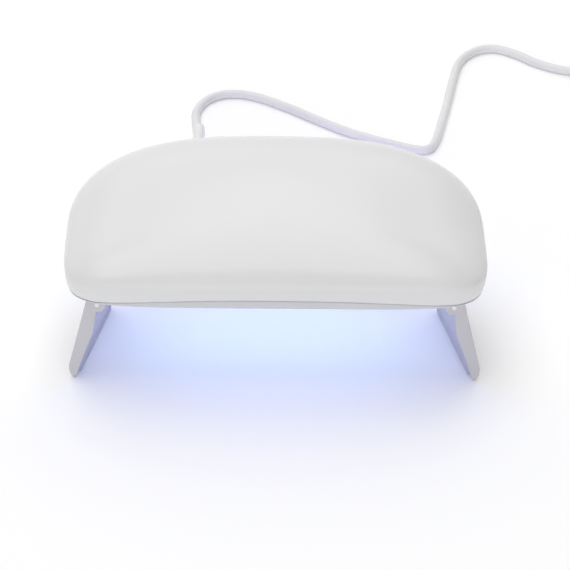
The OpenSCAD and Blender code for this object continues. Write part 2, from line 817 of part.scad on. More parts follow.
// Bridge screwed down over the lead
module cord_clamp() {
    color("gainsboro") difference() {
        translate([exit_x, clamp_y, rim_z + exit_h + 0.3]) centred_box(15, 5, 2.8);
        translate([exit_x, clamp_y - 4.5, rim_z + exit_h]) rotate([-90, 0, 0])
            cylinder(h = 9, r = lead_d / 2);
        for (x = [-5, 5])
            translate([exit_x + x, clamp_y, rim_z + exit_h - 1])
                cylinder(h = 6, r = screw_d / 2 + 0.15);
    }
}

module clamp_screws() {
    color("silver") for (x = [-5, 5])
        translate([exit_x + x, clamp_y, rim_z + exit_h + 3.1]) screw(6.4);
}

module board_screws() {
    color("silver") {
        for (p = lamp_boss_at)
            translate([p[0], p[1], rim_z + lamp_board_top]) screw(lamp_board_t + 0.6 * screw_bite);
        for (p = board_boss_at)
            translate([p[0], p[1], rim_z + board_h + board_t]) screw(board_t + screw_bite);
    }
}

module cover_screws() {
    color("silver") for (p = cover_screw_at)
        translate([p[0], p[1], rim_z + floor_h]) rotate([180, 0, 0]) screw(floor_t + screw_bite);
}

// Two wires from the end of the lead up over the board's corner to their solder pads
module power_wires() {
    pad_z = rim_z + board_top + 0.6;
    for (k = [0, 1])
        color(k == 0 ? "firebrick" : "dimgray")
            tube(smooth([
                [exit_x - 0.7 + 1.4 * k, tail_y, rim_z + exit_h],
                [exit_x - 0.7 + 1.4 * k, tail_y - 1.2, rim_z + exit_h + 0.3],
                [exit_x + 1 + 1.6 * k, tail_y - 3.9 + k, rim_z + exit_h + 2.4],
                [corner_x - 2.4, corner_y - 0.3 + k * 1.5, pad_z + 1.6],
                [corner_x + 2, corner_y + 0.4 + k * 1.3, pad_z + 0.8],
                [corner_x + 5.5, corner_y + 0.4 + k * 1.3, pad_z]
            ], 3), 1.1, 6);
}

// Free lead, its coil and the plug

tie_t = 0.8;
coil_x = 142;
coil_y = 140;
coil_r = 24;
coil_pitch = lead_d + 0.6;
coil_in = 3.25;
coil_turns = 6.25;
coil_z = tie_t + lead_r;

// Ease from 0 to 1 as x goes from 0 to 1
function ease(x) = let (c = min(1, max(0, x))) c * c * (3 - 2 * c);

// Turning points of the lead where it lies on the table
table_route = [
    [-28.6, 133], [-25.4, 141], [-19.4, 145.6], [-11.6, 146], [-4, 143], [6, 136.4], [15, 129.4],
    [25, 121.8], [35, 116], [44, 111.8], [51.5, 108.8], [56.4, 109], [59.4, 114.8], [62.4, 128],
    [65.4, 143], [68, 157], [71.2, 170.6], [77, 178.8], [85, 181.6], [93, 177.8], [101, 171],
    [110, 166.2]
];

// Route of the lead: down from the strain relief to the table, along it and up to the coil
fall_y = relief_y + relief_len;
fall_z = rim_z + exit_h;
fall_end = [-28.4, 125];
run_route = concat(
    [for (f = [0, 0.05, 0.14, 0.28, 0.43, 0.58, 0.72, 0.86, 1])
        [exit_x + (fall_end[0] - exit_x) * pow(f, 4), fall_y + (fall_end[1] - fall_y) * f,
            fall_z + (lead_r - fall_z) * ease(f)]],
    [for (p = table_route) [p[0], p[1], lead_r]],
    [[coil_x - 22, coil_y + coil_r + 0.4, lead_r + 0.1], [coil_x - 12, coil_y + coil_r, coil_z - 0.1]],
    [[coil_x - 6, coil_y + coil_r, coil_z], [coil_x - lead_d, coil_y + coil_r, coil_z]]
);

// Loops of the coil: in toward the middle, up one layer, and out again over them
function coil_pt(t) =
    let (r = coil_r - coil_pitch * coil_in + coil_pitch * abs(t - coil_in))
    let (z = coil_z + coil_pitch * ease((t - coil_in + 0.25) / 0.5))
    [coil_x + r * cos(90 - 360 * t), coil_y + r * sin(90 - 360 * t), z];

coil_path = concat(
    [[coil_x - lead_d, coil_y + coil_r, coil_z]],
    [for (i = [0:24 * coil_turns]) coil_pt(i / 24)],
    [coil_pt(coil_turns) + [0, -lead_d, 0]]
);

// Least distance between the coil's own turns, less the lead's diameter
coil_gap = min([
    for (i = [0:len(coil_path) - 1], j = [i + 12:1:len(coil_path) - 1])
        norm(coil_path[i] - coil_path[j])
]) - lead_d;
echo(coil_gap = coil_gap);

coil_end = coil_path[len(coil_path) - 1];
plug_z = grip_h / 2;
plug_y = 112;
end_route = [
    coil_end, coil_end + [0, -4, 0], coil_end + [0, -9, -0.5], [coil_end[0], plug_y + 10, plug_z + 0.5],
    [coil_end[0], plug_y + 4, plug_z], [coil_end[0], plug_y, plug_z]
];

run_path = [for (p = smooth(run_route, 2)) [p[0], p[1], max(lead_r, p[2])]];
end_path = smooth(end_route, 2);
echo(lead_length = path_length(run_path) + path_length(coil_path) + path_length(end_path));

module cord_run() {
    color("white") tube(run_path, lead_d, 8);
}

module cord_coil() {
    color("white") tube(coil_path, lead_d, 6);
}

module cord_end() {
    color("white") tube(end_path, lead_d, 8);
}

// Narrow band closed round the loops on the side away from the lamp
module coil_tie() {
    inner_w = 2 * coil_pitch + lead_d + 0.9;
    inner_h = coil_pitch + lead_d + 0.4;
    mid_r = coil_r - coil_pitch * (coil_in - 1.5);
    color("white") translate([coil_x - mid_r, coil_y, 0]) difference() {
        centred_box(inner_w + 2 * tie_t, 4, inner_h + 2 * tie_t);
        translate([0, 0, tie_t]) centred_box(inner_w, 6, inner_h);
    }
}

module at_plug() {
    translate([coil_end[0], plug_y, plug_z]) rotate([0, 0, 180]) children();
}

module plug_grip() {
    color("white") at_plug() difference() {
        union() {
            translate([0, 0.02, 0]) rotate([-90, 0, 0]) cylinder(h = 6, r1 = lead_r + 0.6, r2 = 3.2);
            translate([0, 5, 0]) round_bar(grip_w - 3, grip_h - 2, 2.1);
            translate([0, 7, -grip_h / 2]) translate([0, (grip_len - 7) / 2, 0])
                round_box(grip_w, grip_len - 7, grip_h, 2);
        }
        translate([-6, grip_len - 8, -2.25]) cube([12, 9, 4.5]);
    }
}

module plug_shell() {
    color("silver") at_plug() difference() {
        translate([-6, grip_len - 8, -2.25]) cube([12, shell_len + 8, 4.5]);
        translate([-5.7, grip_len - 7, -1.95]) cube([11.4, shell_len + 8, 3.9]);
        for (x = [-3, 3], z = [-3, 1])
            translate([x - 1.25, grip_len + shell_len - 7, z]) cube([2.5, 2.5, 2]);
    }
}

module plug_tongue() {
    color("white") at_plug() translate([-5.6, grip_len - 6.98, -1.93])
        cube([11.2, shell_len + 6, 1.9]);
}

module plug_contacts() {
    color("gold") at_plug() for (x = [-3.5, -1.25, 1.25, 3.5])
        translate([x - 0.5, grip_len + 1, -0.03]) cube([1, shell_len - 2.4, 0.25]);
}

top_cover();
bottom_cover();
reflector_panel();
lamp_board();
lamp_packages();
lamp_lenses();
control_board();
board_parts();
power_coil();
wire_sockets();
tact_switch();
switch_plunger();
timer_button();
strain_relief();
lead_tail();
cord_clamp();
clamp_screws();
board_screws();
cover_screws();
left_leg();
right_leg();
left_hinge_pins();
right_hinge_pins();
lamp_wires();
power_wires();
cord_run();
cord_coil();
cord_end();
coil_tie();
plug_grip();
plug_shell();
plug_tongue();
plug_contacts();
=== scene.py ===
import math

import bmesh
import bpy
import numpy as np
from mathutils import Matrix, Vector


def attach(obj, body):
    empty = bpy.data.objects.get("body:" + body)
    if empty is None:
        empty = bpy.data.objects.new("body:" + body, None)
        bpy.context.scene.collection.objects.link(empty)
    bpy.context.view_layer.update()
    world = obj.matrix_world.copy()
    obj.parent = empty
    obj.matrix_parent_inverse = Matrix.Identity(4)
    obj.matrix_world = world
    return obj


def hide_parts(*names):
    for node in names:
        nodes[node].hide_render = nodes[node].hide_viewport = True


# Foldable nail lamp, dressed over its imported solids. Lengths in the dictionaries are in millimetres,
# those of the stage and the lights in metres, in the frame of the solids: z = 0 is the table, -Y the front.
mm = 0.001
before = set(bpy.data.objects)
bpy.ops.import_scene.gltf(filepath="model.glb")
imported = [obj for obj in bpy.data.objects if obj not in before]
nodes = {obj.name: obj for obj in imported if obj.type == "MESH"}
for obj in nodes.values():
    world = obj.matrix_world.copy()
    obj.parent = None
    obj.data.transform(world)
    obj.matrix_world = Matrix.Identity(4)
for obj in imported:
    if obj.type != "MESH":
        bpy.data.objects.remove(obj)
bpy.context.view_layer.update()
scene = bpy.context.scene
scene.view_settings.view_transform = "Standard"
print("stage: solids loaded")

camera = dict(
    aim=(0.0, 0.0, 44.0),
    distance=900.0,
    elevation=34.0,
    yaw=0.65,
    roll=0.88,
    lens=175.64,
    sensor=36.0,
    shift=(0.0161, -0.1168),
    clip=(0.02, 20.0),
)


def placeCamera(c):
    lens = bpy.data.cameras.new("camera")
    lens.sensor_width = c["sensor"]
    lens.lens = c["lens"]
    lens.shift_x, lens.shift_y = c["shift"]
    lens.clip_start, lens.clip_end = c["clip"]
    body = bpy.data.objects.new("camera", lens)
    turn = (
        Matrix.Rotation(math.radians(-c["yaw"]), 4, "Z")
        @ Matrix.Rotation(math.radians(90.0 - c["elevation"]), 4, "X")
        @ Matrix.Rotation(math.radians(c["roll"]), 4, "Z")
    )
    back = turn @ Vector((0.0, 0.0, c["distance"] * mm))
    body.matrix_world = Matrix.Translation(Vector(c["aim"]) * mm + back) @ turn
    scene.collection.objects.link(body)
    scene.camera = body


placeCamera(camera)
print("stage: camera placed")

# Route of the lead, from the strain relief down to the table, along it and into the coil
lead = dict(
    diameter=3.2,
    exit=(-26.0, 46.18, 43.5),
    landing=(-28.4, 125.0),
    fallAt=(0, 0.05, 0.14, 0.28, 0.43, 0.58, 0.72, 0.86, 1),
    fallBend=4,
    table=[
        (-28.6, 133), (-25.4, 141), (-19.4, 145.6), (-11.6, 146), (-4, 143), (6, 136.4),
        (15, 129.4), (25, 121.8), (35, 116), (44, 111.8), (51.5, 108.8), (56.4, 109),
        (59.4, 114.8), (62.4, 128), (65.4, 143), (68, 157), (71.2, 170.6), (77, 178.8),
        (85, 181.6), (93, 177.8), (101, 171), (110, 166.2),
    ],
    coilMiddle=(142.0, 140.0),
    coilRadius=24.0,
    coilPitch=3.8,
    coilIn=3.25,
    coilTurns=6.25,
    coilHeight=2.4,
    coilSteps=48,
    coilRise=0.5,
    climb=((-22.0, 0.4, -0.7), (-12.0, 0.0, -0.1), (-6.0, 0.0, 0.0), (-3.2, 0.0, 0.0)),
    leave=((0.0, 0.0), (4.0, 0.0), (9.0, 0.5)),
    plug=(112.0, 3.8),
    arrive=((10.0, 0.5), (4.0, 0.0), (0.0, 0.0)),
    cuts=6,
)


def easeIn(x):
    c = min(1.0, max(0.0, x))
    return c * c * (3.0 - 2.0 * c)


def smoothRoute(route, cuts):
    p = np.array(route, float)
    n = len(p)
    out = []
    for i in range(n - 1):
        a, b, c, d = p[max(0, i - 1)], p[i], p[i + 1], p[min(n - 1, i + 2)]
        for j in range(cuts):
            t = j / cuts
            out.append(
                0.5 * (2 * b + (c - a) * t + (2 * a - 5 * b + 4 * c - d) * t * t
                       + (3 * b - a - 3 * c + d) * t ** 3)
            )
    out.append(p[-1])
    return out


def leadPath(v):
    # Falls from the relief, lies on the table, climbs on the coil, winds in and out again, ends in the plug
    r = v["diameter"] / 2
    ex, ey, ez = v["exit"]
    lx, ly = v["landing"]
    cx, cy = v["coilMiddle"]
    radius, high = v["coilRadius"], v["coilHeight"]
    fall = [(ex + (lx - ex) * f ** v["fallBend"], ey + (ly - ey) * f, ez + (r - ez) * easeIn(f))
            for f in v["fallAt"]]
    flat = [(x, y, r) for x, y in v["table"]]
    climb = [(cx + x, cy + radius + y, high + z) for x, y, z in v["climb"]]
    run = [(x, y, max(r, z)) for x, y, z in smoothRoute(fall + flat + climb, v["cuts"])]

    def loop(t):
        inner = t - v["coilIn"]
        wide = radius - v["coilPitch"] * (v["coilIn"] - abs(inner))
        z = high + v["coilPitch"] * easeIn(inner / v["coilRise"] + 0.5)
        a = math.radians(90 - 360 * t)
        return (cx + wide * math.cos(a), cy + wide * math.sin(a), z)

    steps = v["coilSteps"]
    coil = [loop(i / steps) for i in range(int(steps * v["coilTurns"]) + 1)]
    ox, oy, oz = coil[-1]
    oy -= v["diameter"]
    py, pz = v["plug"]
    route = [(ox, oy - y, oz - z) for y, z in v["leave"]] + [(ox, py + y, pz + z) for y, z in v["arrive"]]
    return [tuple(p) for p in run] + coil + [tuple(p) for p in smoothRoute(route, v["cuts"])]


# Facets that meet at less than these angles are shaded as one round face
tubeShading, pieceShading, shellShading, legShading, solidShading = 60, 50, 40, 34, 24


def sweptTube(name, points, diameter, sides=16):
    # Round tube along a route, its rings carried along without a twist
    p = np.array(points, float)
    along = np.gradient(p, axis=0)
    along /= np.linalg.norm(along, axis=1)[:, None]
    turn = 2 * np.pi * np.arange(sides) / sides
    side = np.cross(along[0], (0.0, 0.0, 1.0))
    rings = []
    for here, ahead in zip(p, along):
        side = side - ahead * (side @ ahead)
        side /= np.linalg.norm(side)
        up = np.cross(side, ahead)
        rings.append(here + diameter / 2 * (np.outer(np.cos(turn), side) + np.outer(np.sin(turn), up)))
    mesh = skinMesh(name, rings)
    smoothFaces(mesh, tubeShading)
    return mesh


def newPiece(name, mesh, body, slot, *stoodFor):
    obj = bpy.data.objects.new(name, mesh)
    scene.collection.objects.link(obj)
    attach(obj, body)
    if stoodFor:
        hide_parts(*stoodFor)
    return obj


def meshFrom(name, verts, faces):
    mesh = bpy.data.meshes.new(name)
    mesh.from_pydata([tuple(c * mm for c in p) for p in verts], [], faces)
    return mesh


def ringSkin(rings, closedWay=False):
    # Quads between equal rings; the ends are capped by fans unless the rings close on each other
    n, rows = len(rings[0]), len(rings)
    verts = [tuple(p) for r in rings for p in r]
    i = np.arange(n)
    j = (i + 1) % n
    faces = []
    for k in range(rows if closedWay else rows - 1):
        a, b = k * n, (k + 1) % rows * n
        faces += np.stack([a + i, b + i, b + j, a + j], 1).tolist()
    if not closedWay:
        verts += [tuple(np.mean(rings[0], axis=0)), tuple(np.mean(rings[-1], axis=0))]
        faces += np.stack([np.full(n, rows * n), i, j], 1).tolist()
        faces += np.stack([np.full(n, rows * n + 1), (rows - 1) * n + j, (rows - 1) * n + i], 1).tolist()
    return verts, faces


def joined(first, second):
    verts, faces = first
    return verts + second[0], faces + [[k + len(verts) for k in f] for f in second[1]]


def skinMesh(name, rings, closedWay=False):
    return fixedNormals(meshFrom(name, *ringSkin(rings, closedWay)))


def straightBar(outline, origin, across, up, along, length):
    # Closed bar with a flat outline, for cutting holes
    o, a, u, w = (np.array(c, float) for c in (origin, across, up, along))
    rings = [[o + a * x + u * z + w * s for x, z in outline] for s in (0.0, length)]
    return ringSkin(rings)


def slotOutline(width, height, steps=16):
    r = height / 2
    turn = [math.radians(90 - 180 * k / steps) for k in range(steps + 1)]
    right = [((width - height) / 2 + r * math.cos(t), r * math.sin(t)) for t in turn]
    return right + [(-x, -z) for x, z in right]


# Where a turned shape closes on its axis
pointRadius = 0.01


def circleOutline(radius, steps=48):
    return [
        (radius * math.cos(2 * math.pi * k / steps), radius * math.sin(2 * math.pi * k / steps))
        for k in range(steps)
    ]


def quarterArc(steps):
    # Sine and cosine pairs over a quarter turn, for the rounding of an edge
    turns = [math.radians(90 * k / steps) for k in range(steps + 1)]
    return [(math.sin(a), math.cos(a)) for a in turns]


def fixedNormals(mesh):
    shape = bmesh.new()
    shape.from_mesh(mesh)
    bmesh.ops.recalc_face_normals(shape, faces=shape.faces)
    shape.to_mesh(mesh)
    shape.free()
    return mesh


def carve(obj, cutters, operation="DIFFERENCE"):
    tools = []
    for verts, faces in cutters:
        tool = bpy.data.objects.new("cutter", fixedNormals(meshFrom("cutter", verts, faces)))
        scene.collection.objects.link(tool)
        cut = obj.modifiers.new("cut", "BOOLEAN")
        cut.operation, cut.solver, cut.object = operation, "EXACT", tool
        tools.append(tool)
    applyModifiers(obj)
    for tool in tools:
        bpy.data.objects.remove(tool)


def applyModifiers(obj):
    bpy.context.view_layer.update()
    made = bpy.data.meshes.new_from_object(obj.evaluated_get(bpy.context.evaluated_depsgraph_get()))
    obj.modifiers.clear()
    obj.data = made


def smoothFaces(mesh, angle):
    mesh.polygons.foreach_set("use_smooth", [True] * len(mesh.polygons))
    mesh.set_sharp_from_angle(angle=math.radians(angle))


def softenShading(obj, angle):
    # Shades a carried-over solid as round where its facets meet at less than the angle
    mesh = obj.data
    mesh.polygons.foreach_set("use_smooth", [True] * len(mesh.polygons))
    count = len(mesh.loops)
    corner = np.zeros(count, int)
    mesh.loops.foreach_get("vertex_index", corner)
    place = np.zeros(len(mesh.vertices) * 3)
    mesh.vertices.foreach_get("co", place)
    keys = np.round(place.reshape(-1, 3)[corner] * 1e6).astype(np.int64)
    spot = np.unique(keys, axis=0, return_inverse=True)[1].ravel()
    facing = np.zeros((count, 3))
    weight = np.zeros(count)
    for p in mesh.polygons:
        for c in p.loop_indices:
            facing[c] = p.normal
            weight[c] = p.area
    limit = math.cos(math.radians(angle))
    order = np.argsort(spot, kind="stable")
    splits = np.flatnonzero(np.diff(spot[order])) + 1
    normals = facing.copy()
    for crowd in np.split(order, splits):
        near = (facing[crowd] @ facing[crowd].T) > limit
        blend = (near * weight[crowd][None, :]) @ facing[crowd]
        size = np.linalg.norm(blend, axis=1)
        good = size > 1e-12
        normals[crowd[good]] = blend[good] / size[good][:, None]
    mesh.normals_split_custom_set(normals.tolist())


leadPoints = leadPath(lead)
leadCord = newPiece("lead", sweptTube("lead", leadPoints, lead["diameter"]), "housing", "lead",
                    "cord_run", "cord_coil", "cord_end")

# Strap closed round the loops, with its free end lapped over its top
strap = dict(
    at=(124.65, 140.0), inside=(11.7, 7.4), thick=0.8, wide=4.0, corner=2.4, cornerSteps=8, bevel=0.16,
    lapEnd=4.2, lapShort=1.0, lapSteps=14, lapTip=0.2, lapSink=0.05, lapLift=0.12, lapThin=0.75,
)


def strapLoop(v, grow, x0):
    w, h, r = v["inside"][0] / 2 + grow, v["inside"][1] + 2 * grow, v["corner"] + grow
    z0 = v["thick"] - grow
    out = []
    for cx, cz, start in ((w - r, z0 + h - r, 90), (w - r, z0 + r, 0), (r - w, z0 + r, -90),
                          (r - w, z0 + h - r, -180)):
        for k in range(v["cornerSteps"] + 1):
            a = math.radians(start - 90 * k / v["cornerSteps"])
            out.append((x0 + cx + r * math.cos(a), cz + r * math.sin(a)))
    return out


def tieStrap(v):
    x0, y0 = v["at"]
    half, t, e = v["wide"] / 2, v["thick"], v["bevel"]
    section = [(-half + e, 0), (half - e, 0), (half, e), (half, t - e), (half - e, t), (-half + e, t),
               (-half, t - e), (-half, e)]
    loops = [strapLoop(v, g, x0) for s, g in section]
    rings = [[(x, y0 + s, z) for x, z in loop] for (s, g), loop in zip(section, loops)]
    top = v["inside"][1] + 2 * t - v["lapSink"]
    lap = []
    for k in range(v["lapSteps"] + 1):
        u = k / v["lapSteps"]
        x = x0 - v["lapEnd"] + u * (v["lapEnd"] * 2 - v["lapShort"])
        past = max(0.0, (u - 1) / v["lapTip"] + 1)
        reach = 0.9 * math.sqrt(max(0.0, 1 - past ** 2)) + 0.1
        lift = top + v["lapLift"] * math.sin(math.pi * u)
        lap.append([(x, y0 + s * reach, lift + g * v["lapThin"]) for s, g in section])
    return fixedNormals(meshFrom("strap", *joined(ringSkin(rings, True), ringSkin(lap))))


strapPiece = newPiece("tie_strap", tieStrap(strap), "housing", "tie", "coil_tie")
smoothFaces(strapPiece.data, pieceShading)

# Plug's grip: a neck in rings that swells into a flat body with ridged sides
grip = dict(
    neck=2.2, neckSwell=0.24, neckRings=4, ringDepth=0.28, shoulder=(3.4, 8.2), length=24.0, width=15.0,
    height=7.6, square=5.0, ridges=6, ridgeDepth=0.32, ridgeSpan=(10.6, 20.0), endRound=1.2,
    firstStop=0.25, stops=(20, 16, 60, 8), steps=72,
)


def ripple(depth, count, share):
    return depth * (0.5 - 0.5 * math.cos(2 * math.pi * count * share))


def gripMesh(v, at, toward):
    x0, y0, z0 = at
    rings = []
    a0, a1 = v["shoulder"]
    r0, r1 = v["ridgeSpan"]
    r = v["endRound"]
    last = v["length"] - r
    onNeck, onShoulder, onBody, onEnd = v["stops"]
    stops = sorted(set(
        [0.0, v["firstStop"]] + [a0 * k / onNeck for k in range(1, onNeck + 1)]
        + [a0 + (a1 - a0) * k / onShoulder for k in range(onShoulder + 1)]
        + [a1 + (last - a1) * k / onBody for k in range(onBody + 1)]
        + [v["length"] - r * c for s, c in quarterArc(onEnd)]
    ))
    for s in stops:
        f = easeIn((s - a0) / (a1 - a0))
        neck = v["neck"] + v["neckSwell"] * s
        if s < a0:
            neck -= ripple(v["ringDepth"], v["neckRings"], s / a0)
        w = neck + (v["width"] / 2 - neck) * f
        h = neck + (v["height"] / 2 - neck) * f
        if r0 < s < r1:
            w -= ripple(v["ridgeDepth"], v["ridges"], (s - r0) / (r1 - r0))
        shrink = r - math.sqrt(max(0.0, r * r - max(0.0, s - last) ** 2))
        w, h = w - shrink, h - shrink
        n = 2.0 + (v["square"] - 2.0) * f
        ring = []
        for k in range(v["steps"]):
            a = 2 * math.pi * k / v["steps"]
            c, q = math.cos(a), math.sin(a)
            m = (abs(c) ** n + abs(q) ** n) ** (-1 / n)
            ring.append((x0 + w * c * m, y0 + toward * s, z0 + h * q * m))
        rings.append(ring)
    return skinMesh("grip", rings)


gripPiece = newPiece("plug_body", gripMesh(grip, leadPoints[-1], -1), "housing", "grip", "plug_grip")
smoothFaces(gripPiece.data, pieceShading)

# Wires inside the housing, one smooth tube each; a route's second pair is the step to the next wire
lampWire = dict(diameter=1.1, sides=12, cuts=6, route=[
    ((-29.5, 8.2, 44.6), (0.0, 1.6)), ((-31.0, 8.2, 44.6), (0.0, 1.6)), ((-35.0, 13.0, 46.0), (1.6, 0.0)),
    ((-33.4, 19.1, 48.6), (1.4, -1.2)), ((-25.0, 22.5, 49.4), (0.0, -1.6)), ((-17.2, 22.5, 49.4), (0.0, -1.6)),
])
powerWire = dict(diameter=1.1, sides=12, cuts=6, route=[
    ((-26.7, 20.8, 43.5), (1.4, 0.0)), ((-26.7, 19.6, 43.8), (1.4, 0.0)), ((-25.0, 16.9, 45.9), (1.6, 1.0)),
    ((-20.4, 15.28, 50.0), (0.0, 1.5)), ((-16.0, 15.98, 49.2), (0.0, 1.3)), ((-12.5, 15.98, 48.4), (0.0, 1.3)),
])

wirePieces = []
for which, v in (("lamp", lampWire), ("power", powerWire)):
    for k, tint in ((0, "red"), (1, "dark")):
        name = which + "_wire_" + tint
        route = [(x + dx * k, y + dy * k, z) for (x, y, z), (dx, dy) in v["route"]]
        tube = sweptTube(name, smoothRoute(route, v["cuts"]), v["diameter"], v["sides"])
        wirePieces.append((newPiece(name, tube, "housing", "wire", which + "_wires"), tint))
print("stage: wires laid")

cover = dict(
    width=135.0, depth=75.0, waistBack=31.5, frontPower=6.0, rearPower=3.1,
    rim=34.0, waistHeight=6.8, crownHeight=22.8, crownRise=0.22, crownArch=2.0, crownPower=3.0,
    wall=2.2, tuck=2.2, lipHeight=0.35, lipArch=2.95, lipSpan=58.0,
    lipRound=(0.7, 1.1), lipPower=2.6, directions=420, firstAngle=9.0,
    rings=dict(crown=7, dome=40, side=9, lip=3, innerSide=5, innerDome=15),
    buttonHole=dict(x=14.0, z=44.0, width=9.5, height=6.1, fromY=30.0),
    leadHole=dict(x=-26.0, z=43.5, radius=3.0, fromY=29.2), holeDepth=12.0,
    swing=dict(at=(56.5, -33.5, 32.6), toe=13.5, length=47.0, radius=4.3),
    posts=[(24.0, -28.6), (47.0, 18.0)], postRadius=2.9, postFoot=5.2, postSink=0.6,
    screwHole=(1.1, 5.6),
)
waistY = cover["waistBack"] - cover["depth"] / 2


def outlinePoints(v, turn, inset):
    c, s = np.cos(turn), np.sin(turn)
    front = s < 0
    n = np.where(front, v["frontPower"], v["rearPower"])
    b = np.where(front, v["waistBack"], v["depth"] - v["waistBack"]) - inset
    k = (np.abs(c) ** n + np.abs(s) ** n) ** (-1.0 / n)
    return (v["width"] / 2 - inset) * c * k, waistY + b * s * k


def evenTurns(v):
    fine = np.linspace(0, 2 * math.pi, 7201)
    x, y = outlinePoints(v, fine, 0.0)
    run = np.concatenate([[0], np.cumsum(np.hypot(np.diff(x), np.diff(y)))])
    return np.interp(np.linspace(0, run[-1], v["directions"] + 1)[:-1], run, fine)


def lipHeights(v, turn):
    x, y = outlinePoints(v, turn, 0.0)
    arch = np.where(y < waistY, np.maximum(0, 1 - (np.abs(x) / v["lipSpan"]) ** v["lipPower"]), 0)
    return v["lipHeight"] + v["lipArch"] * arch


def crownOver(v, x, y, inset):
    rise = v["crownHeight"] - inset - v["waistHeight"] + v["crownRise"] * (y - waistY)
    return rise - v["crownArch"] * (2 * x / v["width"]) ** 2


def domeRing(v, turn, angle, inset):
    x, y = outlinePoints(v, turn, inset)
    share = math.sin(angle) ** (2 / v["crownPower"])
    x, y = x * share, waistY + (y - waistY) * share
    z = v["rim"] + v["waistHeight"] + crownOver(v, x, y, inset) * math.cos(angle)
    return np.stack([x, y, z], 1)


def sideRing(v, turn, part, inset, drop=0.0):
    h = v["waistHeight"] + (lipHeights(v, turn) - v["waistHeight"]) * part + drop
    lean = v["tuck"] * (1 - np.sqrt(1 - ((v["waistHeight"] - h) / (v["waistHeight"] + 1)) ** 2))
    x, y = outlinePoints(v, turn, inset + lean)
    return np.stack([x, y, v["rim"] + h], 1)


def coverSkin(v):
    # Rings from the crown down the outside, round the lip and up the inside
    turn = evenTurns(v)
    start, count, wall = math.radians(v["firstAngle"]), v["rings"], v["wall"]
    arch = (lipHeights(v, turn) - v["lipHeight"]) / v["lipArch"]
    r = v["lipRound"][0] + (v["lipRound"][1] - v["lipRound"][0]) * arch
    rings = [domeRing(v, turn, math.asin(math.sin(start) * (k / count["crown"]) ** (v["crownPower"] / 2)), 0)
             for k in range(1, count["crown"])]
    rings += [domeRing(v, turn, start + (math.pi / 2 - start) * k / count["dome"], 0)
              for k in range(count["dome"] + 1)]
    rings += [sideRing(v, turn, k / count["side"], 0, r * k / count["side"]) for k in range(1, count["side"])]
    rings += [sideRing(v, turn, 1.0, r * (1 - c), r * (1 - s)) for s, c in quarterArc(count["lip"])]
    rings += [sideRing(v, turn, k / count["innerSide"], wall) for k in range(count["innerSide"], -1, -1)]
    rings += [domeRing(v, turn, math.pi / 2 * k / count["innerDome"], wall)
              for k in range(count["innerDome"] - 1, 0, -1)]
    verts, faces = ringSkin(rings)
    top = v["rim"] + v["crownHeight"]
    verts[-2:] = [(0, waistY, top), (0, waistY, top - wall)]
    return fixedNormals(meshFrom("top_shell", verts, faces))


def coverCuts(v):
    b, l, s = v["buttonHole"], v["leadHole"], v["swing"]
    rearward = ((1, 0, 0), (0, 0, 1), (0, 1, 0), v["holeDepth"])
    cuts = [
        straightBar(slotOutline(b["width"], b["height"]), (b["x"], b["fromY"], b["z"]), *rearward),
        straightBar(circleOutline(l["radius"]), (l["x"], l["fromY"], l["z"]), *rearward),
    ]
    for side in (-1, 1):
        x, y, z = s["at"]
        toe = math.radians(s["toe"])
        across, along = (side * math.cos(toe), math.sin(toe), 0), (-side * math.sin(toe), math.cos(toe), 0)
        bar = circleOutline(s["radius"]), (side * x, y, z), across, (0, 0, 1), along, s["length"]
        cuts.append(straightBar(*bar))
    return cuts


def domeHeight(v, x, y, inset):
    front = y < waistY
    n = v["frontPower"] if front else v["rearPower"]
    b = (v["waistBack"] if front else v["depth"] - v["waistBack"]) - inset
    share = ((abs(x) / (v["width"] / 2 - inset)) ** n + (abs(y - waistY) / b) ** n) ** (1 / n)
    fall = math.sqrt(max(0.0, 1 - share ** v["crownPower"]))
    return v["rim"] + v["waistHeight"] + crownOver(v, x, y, inset) * fall


def addScrewPosts(obj, v, steps=40):
    # Posts with a blind screw hole, their tops buried in the dome's wall all the way round
    mesh = bmesh.new()
    mesh.from_mesh(obj.data)
    hole, deep = v["screwHole"]
    foot, sunk = v["rim"] + v["postFoot"], v["wall"] * v["postSink"]
    for px, py in [(side * x, y) for x, y in v["posts"] for side in (-1, 1)]:
        rings = []
        for k in range(steps):
            c, s = math.cos(2 * math.pi * k / steps), math.sin(2 * math.pi * k / steps)
            wide = v["postRadius"]
            top = domeHeight(v, px + wide * c, py + wide * s, sunk)
            middle = domeHeight(v, px, py, sunk)
            profile = [(hole, foot), (wide, foot), (wide, top), (pointRadius, middle), (pointRadius, foot + deep),
                       (hole, foot + deep)]
            rings.append([(px + r * c, py + r * s, z) for r, z in profile])
        verts, faces = ringSkin(rings, True)
        made = [mesh.verts.new([c * mm for c in p]) for p in verts]
        for f in faces:
            mesh.faces.new([made[k] for k in f])
    bmesh.ops.recalc_face_normals(mesh, faces=mesh.faces)
    mesh.to_mesh(obj.data)
    mesh.free()


shell = newPiece("top_shell", coverSkin(cover), "housing", "shell", "top_cover")
carve(shell, coverCuts(cover))
addScrewPosts(shell, cover)
smoothFaces(shell.data, shellShading)
print("stage: cover skinned,", len(shell.data.vertices), "points")

# Bead of the bottom cover that closes the rim just inside the top cover's edge
bead = dict(foot=-0.08, gap=(0.04, 0.25), round=0.8, topRound=0.35, share=(0.5, 0.3), deep=1.9, steps=3)


